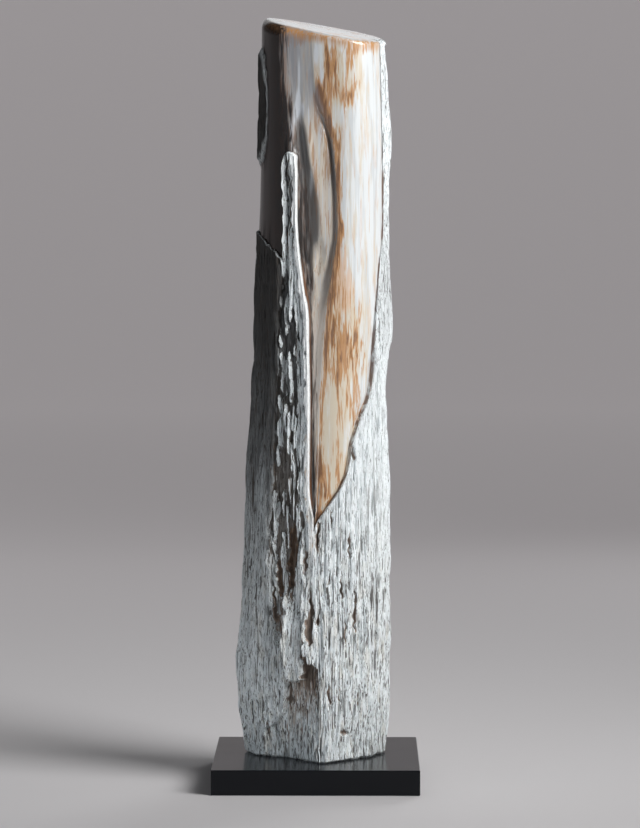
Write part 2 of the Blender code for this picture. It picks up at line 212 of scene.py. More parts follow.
@dataclass(frozen=True)
class Slivers:
    """Rows of small upright slivers, each a cliff on its left and a ramp down to its right."""

    height: float
    spacing: float
    along: float
    seed: int
    share: float

    def rise(self, x: Array, z: Array) -> Array:
        """The slivers' height at each place.

        Args:
            x, z: places on the front, in millimetres.

        Returns:
            How far they stand up, in millimetres.
        """
        place = x / self.spacing + 1.1 * noise(x / 20, 0, z / 60, self.seed)
        row = np.floor(place)
        across = place - row
        there = noise(row * 7.3, 0, z / self.along + row * 3.1, self.seed + 1)
        size = ease(1 - self.share - 0.08, 1 - self.share + 0.08, there)
        width = 0.75 * size + 0.05
        return self.height * size * ease(-0.02, 0.10, across) * np.clip(1 - across / width, 0, 1)


class Mark(str, Enum):
    """What the column's mesh says of each of its points, for the stone's material."""

    EDGE = "edge"
    CREST = "crest"
    RIDGE = "ridge"
    LEFT = "left"
    FOLD = "fold"
    CAVITY = "cavity"
    # how much painted shade the raw skin takes on its left side
    AGED = "aged"
    SPLIT = "split"
    HOLLOW = "hollow"
    FLANK = "flank"
    TOP = "top"


# ---------------------------------------------------------------- the stone's form


# How far a pit's middle line leans and its ends fray, in shares of its width and height.
PIT_LEAN = Grain(0.35, 14, 1, 151)
PIT_FRAY = Grain(0.25, 2.4, 1, 153)


@dataclass(frozen=True)
class Pit:
    """A rounded hollow or fissure in the front, in millimetres."""

    x: float
    z: float
    wide: float
    tall: float
    depth: float
    rim: float = 0.2
    # how dark the pit looks inside: its rust and painted shade
    dark: float = 1.0

    def cut(self, x: Array, z: Array) -> Array:
        """The pit's depth at each place.

        Args:
            x, z: places on the front, in millimetres.

        Returns:
            How deep it cuts in, in millimetres.
        """
        across = (x - self.x) / self.wide + PIT_LEAN.sway(z, 0, 0)
        along = (z - self.z) / self.tall + PIT_FRAY.sway(x, 0, 0)
        return self.depth * (1 - ease(self.rim, 1.1, np.hypot(across, along)))


@dataclass(frozen=True)
class Splinter:
    """A splinter of skin left standing: a cliff on its left and a ramp down to its right."""

    left: float
    bottom: float
    top: float
    wide: float
    rise: float

    def height(self, x: Array, z: Array, sway: float, seed: int) -> Array:
        """How far it stands up.

        Args:
            x, z: places on the front, in millimetres.
            sway: how far its edges wander.
            seed: which wander it takes.

        Returns:
            Its height at each place, in millimetres.
        """
        wander = Grain(sway, 1, 17, seed).sway(seed, 0, z)
        wander += Grain(0.35 * sway, 1, 4.5, seed + 50).sway(seed, 0, z)
        full = np.clip(np.minimum(z - self.bottom, self.top - z) / (1.8 * self.wide), 0.0, 1.0) ** 0.5
        across = (x - self.left - wander) / np.maximum(self.wide * full, 0.1)
        return self.rise * ease(-0.12, 0.02, across) * np.clip(1 - across, 0, 1) * full


@dataclass(frozen=True)
class StoneForm:
    """The stone's shape: its sections, the skin's edges, the carved folds and the grain."""

    foot: float = 30.3
    chip: float = 5.0
    top_centre: float = 899.0
    fall_right: float = 0.178
    rise_back: float = 0.143
    rim_tight: float = 5.0
    rim_loose: float = 15.0
    loose_left: Span = (-10, 60)
    loose_front: Span = (-10, 30)
    outline_left: Curve = Curve(
        (30, -88), (50, -92.5), (106, -99), (135, -101), (176, -96), (214, -92.5), (273, -88.4), (322, -87),
        (376, -86), (412, -83.5), (454, -82.2), (530, -78), (626, -76), (700, -73), (796, -71.6),
        (857, -71.4), (912, -71),
    )
    outline_right: Curve = Curve(
        (30, 85.5), (76, 89), (133, 91.3), (214, 91.5), (285, 91.5), (330, 90), (402, 87.4), (489, 85.7),
        (517, 87.4), (554, 91.2), (610, 89), (694, 88), (741, 89), (780, 90.4), (835, 87.5), (864, 86),
        (880, 85), (912, 83.5),
    )
    sections: tuple[tuple[float, Points], ...] = (
        (30, ((-87, 5), (-66, -27), (-33, -46), (5, -79), (40, -56), (68, -28),
              (84, 8), (75, 42), (44, 62), (4, 68), (-40, 60), (-75, 38))),
        (150, ((-98, 4), (-76, -34), (-40, -58), (3, -79), (42, -61), (73, -34),
               (90, 6), (80, 44), (46, 66), (4, 72), (-44, 64), (-84, 40))),
        (300, ((-88, 4), (-71, -31), (-40, -56), (-4, -72), (38, -66), (74, -38),
               (92, 2), (82, 42), (48, 64), (2, 70), (-44, 60), (-78, 36))),
        (480, ((-81, 2), (-68, -28), (-42, -54), (-4, -68), (36, -67), (70, -40),
               (86, 0), (76, 38), (44, 58), (2, 64), (-40, 56), (-72, 34))),
        (660, ((-74, 4), (-66, -24), (-43, -50), (-4, -62), (36, -66), (72, -42),
               (88, -2), (78, 34), (46, 54), (4, 60), (-36, 52), (-66, 32))),
        (890, ((-66, 6), (-61, -20), (-42, -44), (-6, -56), (32, -61), (64, -43),
               (80, -4), (72, 30), (42, 50), (4, 56), (-32, 50), (-58, 32))),
    )
    corners: int = 12
    crowding: float = 0.42

    skin_right: Curve = Curve(
        (306, -2.6), (317, 1.3), (328, 9.2), (341, 18.7), (357, 29.8), (375, 37.7), (391, 40.8),
        (412, 44.8), (428, 50.3), (443, 56.6), (459, 63.8), (470, 66.9), (494, 70.1), (541, 71.1),
        (577, 73.2), (624, 76.4), (659, 80), (695, 80.3), (813, 78), (872, 76.8),
    )
    skin_left: Curve = Curve(
        (306, -2.6), (320, -3.5), (336, -6.5), (360, -8.5), (459, -8.5), (517, -9.5), (564, -10.5),
        (583, -13.7), (611, -17.6), (635, -20.5), (675, -23.2), (719, -23.1), (741, -24.2),
    )
    finger_left: Curve = Curve((600, -41), (643, -41.4), (667, -40.8), (704, -41), (726, -42), (746, -41.2))
    finger_tip: float = 752
    finger_round: float = 8
    left_shoulder: Curve = Curve((-80, 660), (-60, 642), (-45, 630), (-36, 618))
    skin_top_right: float = 880
    left_patch: tuple[float, ...] = (-70, 806, 8, 69)
    front_reaches: float = 6
    back_edge: float = 846
    back_waves: Points = ((11, 27, 0.9), (5, 11, 2.1), (1.6, 3.7, 0.4))
    back_wrap: Span = (38, -16)
    skin_ragged: Grain = Grain(0.9, 5, 9, 91)
    ragged_until: Span = (-40, -30)
    shoulder_ragged: float = 3
    wrap_wave: Span = (5, 33)
    skin_step: Span = (-0.7, 1.5)
    proud: Span = (6.0, 4.5)
    proud_falls: Span = (-20, 40)
    flush_top: float = 0.62
    flush_from: Span = (480, 640)
    flush_right: Span = (20, 50)
    pillow: float = 2.2
    pillow_falls: Span = (-8, -1)
    edge_groove: float = 1.4
    groove_middle: Span = (-0.8, 1.1)
    seam_right: Span = (-4, 8)
    seam_fades: Span = (470, 590)
    seam_faded: float = 0.85

    folds_start: Span = (300, 312)
    crest_inset: float = 1.0
    groove_shallow: float = 0.36
    groove_opens: Span = (550, 640)
    fold_crest: Curve = Curve(
        (306, -4), (450, -10), (583, -15.5), (700, -23), (754, -33), (777, -34.8), (798, -35.7), (816, -41),
        (847, -46), (900, -47),
    )
    valley_left: Points = (
        (308, -3, 2), (341, -6, 7), (400, -8.2, 11), (540, -8.6, 13), (588, -9.5, 13), (606, -10, 12.5),
        (632, -13, 12), (659, -12.5, 12), (695, -12.5, 11.5), (730, -15.3, 10), (754, -17.6, 9),
        (777, -18.8, 6), (793, -20.6, 3), (816, -22, 1.6), (840, -24, 1.4), (875, -25, 0.6),
    )
    ridge_left: Points = (
        (308, -2.9, 2.2), (341, -5.6, 7.2), (400, -7.8, 11), (540, -7.6, 12.8), (576, -3.5, 12),
        (588, -2.5, 11), (606, -4.6, 8.5), (622, -6, 8), (638, -5, 8), (652, 2.5, 5), (666, 4, 4),
        (695, 1.9, 3), (730, -5.2, 2.2), (754, -9.4, 1.6), (777, -12.5, 1), (793, -15.5, 0.8),
        (816, -15, 1.0), (840, -15, 1.0), (875, -15, 0.6),
    )
    ridge_right: Points = (
        (308, -2.8, 2.2), (341, -5.2, 7.2), (400, -7.2, 10.8), (540, -6, 12.4), (576, 0, 12),
        (588, 2.2, 11), (606, 5.5, 8), (632, 11.9, 6), (659, 16.6, 4.8), (695, 16, 4), (730, 13.7, 3.5),
        (754, 11.3, 3), (777, 6, 2), (804, -7, 1.0), (830, -12, 0.7), (870, -13, 0.5),
    )
    valley_right: Points = (
        (308, -2.7, 2.2), (341, -4.8, 7.2), (400, -6.4, 10.6), (510, -4.5, 12), (564, 4.5, 13),
        (591, 11.3, 11), (625, 17.3, 9.5), (659, 22.3, 8), (699, 21.1, 7.5), (730, 18.4, 7.5),
        (750, 16.6, 7), (768, 13.1, 5.6), (790, 5.5, 3.4), (804, -1, 1.8), (830, -7, 0.9), (870, -9, 0.5),
    )
    broad_crest: Curve = Curve(
        (305, -2.2), (346, 1.2), (400, 3.0), (459, 4.4), (518, 8.2), (541, 10.1), (564, 11.9), (591, 16),
        (625, 21.3), (659, 26), (699, 24.9), (730, 22.5), (750, 20.7), (769, 17.8), (790, 11), (804, 5),
        (830, -1.5), (870, -4.5),
    )
    back_crest: float = 400
    spoon: Pit = Pit(2, 628, 8, 38, 2.6, 0.0)

    ribs: tuple[Grain, ...] = (Grain(3.6, 15, 190, 11), Grain(2.0, 7.5, 95, 23))
    swell: float = 2.2
    fine_ribs: tuple[Grain, ...] = (Grain(2.2, 4.8, 85, 31), Grain(1.3, 2.6, 44, 37))
    layers: Grain = Grain(3.6, 12, 150, 61)
    layer_levels: int = 5
    pitting: tuple[Grain, ...] = (Grain(1.6, 1.7, 16, 71), Grain(2.2, 1.9, 48, 79))
    pit_free: float = 0.73
    grain_starts: Span = (0.3, 2.5)
    lean: Grain = Grain(3.0, 60, 120, 83)
    quiet_right: float = 0.75
    quiet_from: Span = (0, 35)
    quiet_above: Span = (210, 380)

    flank_width: Curve = Curve((290, 7), (390, 6), (520, 5.5), (620, 5.5), (740, 5))
    flank_starts: Span = (265, 290)
    flank_smooth: float = 0.7
    flank_ragged: tuple[Grain, ...] = (Grain(2.6, 6, 16, 107), Grain(1.6, 2.5, 6, 139))
    split_left: Curve = Curve((225, -55), (300, -56), (400, -53), (520, -49.5), (640, -43))
    split_right: Curve = Curve((215, -34), (250, -28), (275, -23), (310, -17), (340, 0))
    split_ends: tuple[float, ...] = (212, 262, 590, 625)
    split_ragged: Grain = Grain(2.2, 9, 14, 97)
    split_torn: Grain = Grain(1.0, 3.2, 40, 99)
    torn_right: float = 2.5
    torn_foot: float = 14
    torn_until: Span = (300, 340)
    split_gap: float = 4.5
    split_depth: float = 6.0
    splinter_sway: float = 1.5
    # How far the finger's middle takes the left side's painted shade, and from what height.
    finger_dark: float = 0.55
    finger_middle: Span = (8.5, 3.6)
    finger_shade_rises: Span = (660, 700)
    # The painted shade on the raw skin's left side: how it fades round the back, its patches, how high it
    # reaches and how far right.
    shade_round: Span = (0, 85)
    shade_patches: Grain = Grain(36, 16, 90, 109)
    shade_lift: float = 1.4
    shade_across: Span = (-14, 2)
    shade_by_height: Curve = Curve((120, 0), (200, 0.22), (290, 0.5), (380, 0.9), (480, 0.96), (620, 1))
    slivers: Slivers = Slivers(6.5, 5.2, 28, 171, 0.42)
    strip: tuple[float, ...] = (612, 760, 5.6, 3.6, 4.2)
    strip_ragged: Grain = Grain(1.2, 1, 11, 131)
    splinters: tuple[Splinter, ...] = rows(
        Splinter, (-42.4, 605, 624, 3.6, 7.2), (-39.2, 534, 584, 4.2, 7.8), (-32, 548, 640, 6, 7.8),
        (-26, 533, 640, 7, 7.8), (-43.8, 466, 518, 4.4, 7.8), (-47.3, 441, 468, 3.2, 6.6),
        (-47.3, 400, 442, 5.4, 7.8), (-48.5, 380, 403, 3.6, 6.6), (-37.4, 462, 493, 3.8, 7.2),
        (-33.4, 452, 520, 5, 7.8), (-25, 484, 535, 4.8, 7.8), (-24, 440, 492, 5, 7.8),
        (-40.2, 418, 449, 3.8, 7.2), (-35, 413, 447, 4.2, 7.2), (-28, 398, 444, 3.6, 6.6),
        (-31, 372, 412, 3.6, 6.6), (-22.5, 385, 486, 6.5, 7.8), (-21, 300, 380, 5, 6.6),
        (-41.4, 322, 356, 3.8, 6.6), (-24, 314, 342, 4, 6.6), (-64, 334, 368, 6, 3),
        (-52.5, 268, 355, 4.6, 7.2), (-53.5, 211, 272, 4.6, 7.2), (-43, 243, 306, 5.4, 7.8),
    )

    flaps: tuple[Splinter, ...] = rows(
        Splinter, (-36.5, 126, 236, 19, 10.5), (-14.5, 139, 214, 22, 9.0), (-57, 205, 300, 6, 4.5),
        (-49, 238, 330, 7, 4.0), (-18, 190, 300, 7, 4.0), (-62, 110, 190, 10, 2.0),
    )
    recess_top: Curve = Curve(
        (-66, 62), (-60, 68), (-50, 74), (-42, 84), (-38, 124), (-28, 126), (-21, 131), (-14.5, 147),
        (2, 143), (8, 126),
    )
    roof_ragged: Grain = Grain(2.5, 3.5, 1, 101)
    wall_ragged: Grain = Grain(1.6, 1, 9, 103)
    recess_left_wall: Span = (-66, -60)
    recess_right_wall: Span = (1, 3.2)
    recess_roof: float = 2.2
    recess_depth: Span = (12.5, 2.0)
    recess_tilt: float = 0.07
    # how much rust and painted shade the recess takes by its depth
    recess_shade_and_rust: float = 0.2
    recess_left: Span = (-44, -30)
    recess_left_depth: float = 0.45
    recess_foot: Span = (40, 135)
    pit_ragged: Grain = Grain(2.2, 4, 6, 141)
    pits: tuple[Pit, ...] = rows(
        Pit, (-45.5, 196, 8.5, 33, 8.5, 0.55, 0.28), (-52.5, 212, 2.0, 30, 8.0, 0.3),
        (-46.5, 246, 2.6, 34, 6.0, 0.3), (-31, 272, 6.5, 50, 11.0, 0.45, 0.7),
        (-15, 136, 5.5, 20, 15.0, 0.1), (-37, 104, 1.8, 26, 5.0, 0.3), (-60, 62, 1.6, 16, 3.5),
        (-38, 62, 1.6, 14, 3.5), (-22, 66, 1.6, 8, 3.5), (-12, 50, 2.0, 7, 3.5),
        (-8, 190, 4.5, 26, 6.5, 0.4), (47, 206, 2.2, 38, 5.0), (32, 237, 2.2, 19, 4.5),
        (16, 248, 2.2, 9, 4.0), (36, 186, 1.6, 20, 3.5), (41, 290, 2.2, 24, 3.5), (3, 199, 2.8, 10, 5.0),
        (-7, 218, 3.2, 28, 5.0), (2, 297, 3.4, 26, 5.0), (-13, 266, 3.4, 26, 4.0), (19, 318, 1.8, 16, 3.5),
        (18, 108, 3.2, 17, 4.5), (29, 112, 1.6, 13, 3.5), (52, 101, 2.2, 13, 4.0), (37, 64, 5.5, 5, 3.5),
        (44.5, 398, 1.8, 14, 4.5), (-16.5, 164, 2.6, 17, 9.0), (-33.8, 722, 1.0, 28, 5.0),
        (-30.2, 706, 0.9, 30, 5.0), (-32, 672, 1.1, 26, 5.0), (-34.8, 650, 1.2, 22, 5.0),
        (-28.5, 646, 0.9, 22, 5.0),
    )

    def top_at(self, places: Array) -> Array:
        """The height of the polished top over these (x, y) places."""
        return self.top_centre - self.fall_right * places[..., 0] + self.rise_back * places[..., 1]

    def sections_at(self, heights: Array, columns: int) -> Array:
        """The plain sections of the stone.

        Args:
            heights: the height of each section.
            columns: how many points each has. They crowd towards the front.

        Returns:
            The (x, y) points, one row for each height.
        """
        corners = np.empty((len(heights), self.corners, 2))
        for k in range(self.corners):
            for axis in (0, 1):
                rail = [(height, section[k][axis]) for height, section in self.sections]
                corners[:, k, axis] = Curve(*rail)(heights)
        share = np.arange(columns) / columns
        share = share - self.crowding / math.tau * np.sin(math.tau * (share - 0.25))
        place = share * self.corners
        i = np.floor(place).astype(int)
        t = (place - i)[None, :, None]
        before, start, end, after = (corners[:, (i + k) % self.corners] for k in (-1, 0, 1, 2))
        points = 0.5 * (
            2 * start
            + (end - before) * t
            + (2 * before - 5 * start + 4 * end - after) * t**2
            + (3 * start - before - 3 * end + after) * t**3
        )
        left, right = self.outline_left(heights)[:, None], self.outline_right(heights)[:, None]
        low = points[..., 0].min(axis=1, keepdims=True)
        high = points[..., 0].max(axis=1, keepdims=True)
        points[..., 0] = left + (points[..., 0] - low) * (right - left) / (high - low)
        return points

    @staticmethod
    def outward(points: Array) -> Array:
        """The normals of closed sections, pointing out of the stone.

        Args:
            points: the (x, y) points, one row for each section.

        Returns:
            The unit normal at each point.
        """
        along = np.roll(points, -1, axis=-2) - np.roll(points, 1, axis=-2)
        normal = np.stack([along[..., 1], -along[..., 0]], axis=-1)
        return normal / np.linalg.norm(normal, axis=-1, keepdims=True)

    def edge_distance(self, x: Array, y: Array, z: Array) -> Array:
        """How far a place lies inside the raw skin, in millimetres, below 0 on polished stone.

        Args:
            x, y, z: places on the plain sections.

        Returns:
            The distance from the skin's nearest edge.
        """
        ragged = self.skin_ragged.sway(x, y, z) * (1 - ease(*self.ragged_until, x))
        right = np.minimum(x - self.skin_right(z), self.skin_top_right - z)
        left_edge = self.skin_left(z) - x
        finger = np.minimum(left_edge, x - self.finger_left(z) + ragged)
        short = np.maximum(self.finger_round - finger, 0)
        over = np.maximum(z - self.finger_tip + self.finger_round, 0)
        tip = self.finger_round - np.hypot(short, over)
        below = np.minimum(left_edge, self.left_shoulder(x) - z + self.shoulder_ragged * ragged)
        patch_x, patch_z, patch_wide, patch_tall = self.left_patch
        patch = (1 - np.hypot((x - patch_x) / patch_wide, (z - patch_z) / patch_tall)) * patch_wide
        seen = np.maximum.reduce([right, tip, below, patch + ragged, self.skin_right.at[0] - z])
        back_z = self.back_edge + sum(tall * np.sin(x / long + turn) for tall, long, turn in self.back_waves)
        tall, long = self.wrap_wave
        wrap = np.where(x < 0, self.back_wrap[0] + tall * np.sin(z / long), self.back_wrap[1])
        behind = np.minimum(back_z - z, y - wrap)
        turned_away = np.maximum(behind, np.where(x > 0, right, below))
        return np.where(y < self.front_reaches, np.maximum(seen, behind), turned_away)

    def fold_depth(self, x: Array, z: Array) -> Array:
        """The carved folds between the finger and the broad face.

        Args:
            x, z: places on the front, in millimetres.

        Returns:
            How deep they lie, in millimetres.
        """
        crest = self.fold_crest(z)
        skin = self.skin_left(z) - self.crest_inset
        crest = np.where(z > self.finger_tip, crest, np.minimum(crest, skin))
        lines = [(crest, 0 * z)]
        for line in (self.valley_left, self.ridge_left, self.ridge_right, self.valley_right):
            lines.append((Curve(*line)(z), Curve(*line, column=2)(z)))
        lines.append((self.broad_crest(z), 0 * z))
        depth = np.zeros_like(x)
        for (x0, depth0), (x1, depth1) in zip(lines, lines[1:]):
            share = ease(0, 1, (x - x0) / np.maximum(x1 - x0, 0.2))
            depth = np.where((x >= x0) & (x < x1), depth0 + (depth1 - depth0) * share, depth)
        depth = depth + self.spoon.cut(x, z)
        low = self.groove_shallow
        return depth * ease(*self.folds_start, z) * (low + (1 - low) * ease(*self.groove_opens, z))

    def ridge_share(self, x: Array, z: Array) -> Array:
        """The rounded ridge between the two valleys.

        Args:
            x, z: places on the front, in millimetres.

        Returns:
            1 along the ridge, falling to 0 in both valleys.
        """
        left, right = Curve(*self.ridge_left)(z), Curve(*self.ridge_right)(z)
        inside = between(left - 4, left + 1, right, right + 3, x)
        return inside * ease(1.0, 4.0, right - left)

    def flank_share(self, x: Array, z: Array) -> Array:
        """The smooth flank beside the left skin edge.

        Args:
            x, z: places on the front, in millimetres.

        Returns:
            1 on the flank and right of it, 0 on raw stone.
        """
        skin = self.skin_left(z)
        ragged = sum(layer.sway(x, 0, z) for layer in self.flank_ragged)
        begins = ease(-0.8, 0.8, x - skin + self.flank_width(z) + ragged) * ease(*self.flank_starts, z)
        return begins * (1 - ease(0, 3, x - skin))

    def split_cut(self, x: Array, z: Array) -> Array:
        """The split zone, with its splinters standing in it.

        Args:
            x, z: places on the front, in millimetres.

        Returns:
            How deep it lies, in millimetres.
        """
        left = self.split_left(z) + self.split_ragged.sway(x, 0, z)
        right = self.skin_left(z) - self.flank_width(z) - self.split_gap
        torn = self.split_torn.sway(x, 0, z)
        right = np.minimum(right, self.split_right(z) + self.torn_right * torn)
        z = z + self.torn_foot * torn * (1 - ease(*self.torn_until, z))
        zone = between(left, left + 3, right - 1.2, right, x)
        depth = self.split_depth * zone * between(*self.split_ends, z)
        for seed, splinter in enumerate(self.splinters):
            depth = depth - splinter.height(x, z, self.splinter_sway, seed)
        depth = depth - self.slivers.rise(x, z) * zone * ease(*self.split_ends[:2], z)
        return np.maximum(depth, 0.0) - self.strip_rise(x, z)

    def strip_rise(self, x: Array, z: Array) -> Array:
        """The finger's raised left edge and the crack beside it.

        Args:
            x, z: places on the front, in millimetres.

        Returns:
            How far it stands up, below 0 in the crack.
        """
        bottom, top, wide, rise, dip = self.strip
        left = self.finger_left(z) + self.strip_ragged.sway(0, 0, z)
        across = (x - left) / wide
        shape = (rise - (rise + dip) * across) * between(-0.2, 0.02, 1.0, 1.35, across)
        return shape * between(bottom - 30, bottom + 30, top - 12, top, z)

    def unshaded_share(self, x: Array, z: Array) -> Array:
        """How far the splinters and the finger are kept clear of the left side's painted shade.

        Args:
            x, z: places on the front, in millimetres.

        Returns:
            1 where they are pale, 0 outside the split zone.
        """
        in_finger = z > self.split_ends[2]
        left = np.where(in_finger, self.finger_left(z), self.split_left(z) + 3.5)
        fibrous = self.finger_dark * bell(x - self.finger_left(z), *self.finger_middle)
        keeps = 1 - fibrous * ease(*self.finger_shade_rises, z)
        return keeps * ease(left - 1, left, x) * ease(self.split_ends[0] - 20, self.split_ends[1], z)

    def left_shade_share(self, x: Array, y: Array, z: Array) -> Array:
        """How much painted shade the raw skin takes on its left side.

        Args:
            x, y, z: places on the plain sections.

        Returns:
            0 on pale stone, up to 1 high on the left side.
        """
        patchy = self.shade_patches.sway(x, y, z)
        at_back = 1 - ease(*self.shade_round, y + patchy)
        by_height = self.shade_by_height(z + self.shade_lift * patchy)
        return (1 - ease(*self.shade_across, x - self.fold_crest(z))) * by_height * at_back

    def recess_cut(self, x: Array, z: Array) -> Array:
        """The broken-out block at the foot.

        Args:
            x, z: places on the front, in millimetres.

        Returns:
            How deep it lies, in millimetres.
        """
        top = self.recess_top(x) + self.roof_ragged.sway(x, 0, 0)
        jagged = self.wall_ragged.sway(0, 0, z)
        inside = ease(*self.recess_left_wall, x) * (1 - ease(*self.recess_right_wall, x + jagged))
        deep, shallow = self.recess_depth
        under_roof = 1 - ease(top - self.recess_roof, top, z)
        least = self.recess_left_depth
        share = ease(*self.recess_foot, z) * (least + (1 - least) * ease(*self.recess_left, x))
        depth = shallow + (deep - shallow) * share
        return (depth + self.recess_tilt * np.clip(-x, 0, 40)) * inside * under_roof

    def pitted_cut(self, x: Array, z: Array) -> tuple[Array, Array]:
        """The hollows and the long fissures.

        Args:
            x, z: places on the front, in millimetres.

        Returns:
            How deep they lie, and how deep they look by their darkness, which the colour turns into rust and
            painted shade.
        """
        x = x + self.pit_ragged.sway(x, 0, z)
        cuts = [pit.cut(x, z) for pit in self.pits]
        darks = [pit.dark * cut for pit, cut in zip(self.pits, cuts)]
        return np.maximum.reduce(cuts), np.maximum.reduce(darks)

    def grain_cut(self, x: Array, y: Array, z: Array) -> tuple[Array, Array]:
        """The raw skin's relief.

        Args:
            x, y, z: places on the plain sections.

        Returns:
            How deep its broad ribs lie, and how deep its fine creases and pits cut in.
        """
        lean = self.lean.sway(x, y, z)
        u, v = x + lean, y + lean
        broad = sum(layer.creases(u, v, z) for layer in self.ribs) - self.swell
        broad = broad + self.layers.steps(u, v, z, self.layer_levels) - self.layers.depth / 2
        fine = sum(layer.creases(u, v, z) for layer in self.fine_ribs)
        fine = fine + sum(layer.pits(u, v, z, self.pit_free) for layer in self.pitting)
        return broad, fine

    def surface(self, x: Array, y: Array, z: Array) -> tuple[Array, dict[Mark, Array]]:
        """The stone's surface over its plain sections.

        Args:
            x, y, z: places on the plain sections.

        Returns:
            How far the surface stands off them, and what it says of each place.
        """
        front = np.where(y < 0, 1.0, 0.0)
        edge = self.edge_distance(x, y, z)
        raw = ease(*self.skin_step, edge)
        fold = self.fold_depth(x, z) * front
        proud_left, proud_right = self.proud
        flush = 1 - self.flush_top * ease(*self.flush_from, z) * ease(*self.flush_right, x)
        polished = (proud_left + (proud_right - proud_left) * ease(*self.proud_falls, x)) * flush + fold
        seam = ease(*self.seam_right, x) * front * (1 - self.seam_faded * ease(*self.seam_fades, z))
        polished = polished + seam * self.pillow * ease(*self.pillow_falls, edge)
        polished = polished + seam * self.edge_groove * bell(edge, *self.groove_middle)

        broad, fine = self.grain_cut(x, y, z)
        flank = self.flank_share(x, z) * front
        quiet = self.quiet_right * ease(*self.quiet_from, x) * ease(*self.quiet_above, z) * front
        broad = broad * (1 - np.maximum(flank, quiet))
        fine = fine * (1 - self.flank_smooth * flank) * ease(*self.grain_starts, edge)
        broken, hollow = self.pitted_cut(x, z)
        split = self.split_cut(x, z) * front
        recess = self.recess_cut(x, z) * front
        carved = np.maximum(recess, broken * front)
        carved = np.where(carved > 0, np.maximum(carved, split), split)
        lifted = sum(flap.height(x, z, self.splinter_sway, 40 + i) for i, flap in enumerate(self.flaps))
        carved = carved - lifted * front
        offset = -polished * (1 - raw) - (broad + fine + carved) * raw
        # where the splinters and the finger stay clear of the painted shade
        standing = self.unshaded_share(x, z) * front
        marks = {
            Mark.EDGE: edge,
            Mark.CREST: x - self.broad_crest(z) + self.back_crest * (1 - front),
            Mark.RIDGE: self.ridge_share(x, z) * front,
            Mark.LEFT: x - self.fold_crest(z) + np.maximum(y - 20, 0),
            Mark.FOLD: fold * (1 - raw),
            Mark.CAVITY: fine * raw,
            # painted shade on the left side, kept off the flank, the splinters and the finger
            Mark.AGED: self.left_shade_share(x, y, z) * (1 - flank) * (1 - standing) * raw,
            Mark.SPLIT: np.maximum(split, 0),
            # rust and painted shade by the depth of the hollows and the recess
            Mark.HOLLOW: np.maximum(hollow * front, self.recess_shade_and_rust * recess) * raw,
            Mark.FLANK: flank,
            Mark.TOP: self.top_at(np.stack([x, y], axis=-1)) - z,
        }
        return offset, marks


# ---------------------------------------------------------------- shader maths


def arithmetic(operation: str, turned: bool = False) -> Callable:
    """A method of Number that adds one Math node.

    Args:
        operation: the node's operation.
        turned: whether the other value comes first.

    Returns:
        The method.
    """

    def operator(self: "Number", other: "Number | float") -> "Number":
        """Work out the operation on the two values.

        Args:
            other: the other value.

        Returns:
            The result.
        """
        left, right = (other, self) if turned else (self, other)
        node = self.graph.node("ShaderNodeMath", {"operation": operation}, {0: left, 1: right})
        return Number(self.graph, node.outputs[0])

    return operator


class Number:
    """A number's socket in a node tree. Arithmetic on it adds Math nodes."""

    def __init__(self, graph: "Graph", socket: bpy.types.NodeSocket) -> None:
        """Wrap one socket of the graph."""
        self.graph = graph
        self.socket = socket

    __add__ = arithmetic("ADD")
    __radd__ = arithmetic("ADD", turned=True)
    __sub__ = arithmetic("SUBTRACT")
    __rsub__ = arithmetic("SUBTRACT", turned=True)
    __mul__ = arithmetic("MULTIPLY")
    __rmul__ = arithmetic("MULTIPLY", turned=True)
    above = arithmetic("MAXIMUM")

    def between(self, low: float, low_full: float, high_full: float, high: float) -> "Number":
        """0 outside low and high, 1 between the two full values, and smooth in between."""
        return self.eased(low, low_full) * self.eased(high, high_full)

    def eased(self, low: float, high: float) -> "Number":
        """Ease the number between two values, of which low may be the higher.

        Args:
            low: the value that gives 0.
            high: the value that gives 1.

        Returns:
            The number, from 0 to 1.
        """
        low, high, ends = (high, low, (1.0, 0.0)) if low > high else (low, high, (0.0, 1.0))
        sockets = {"Value": self, "From Min": low, "From Max": high, "To Min": ends[0], "To Max": ends[1]}
        node = self.graph.node("ShaderNodeMapRange", {"interpolation_type": "SMOOTHSTEP"}, sockets)
        return Number(self.graph, node.outputs["Result"])


# Where a noise is eased to give streaks with fairly sharp edges.
CRISP: Span = (0.36, 0.64)


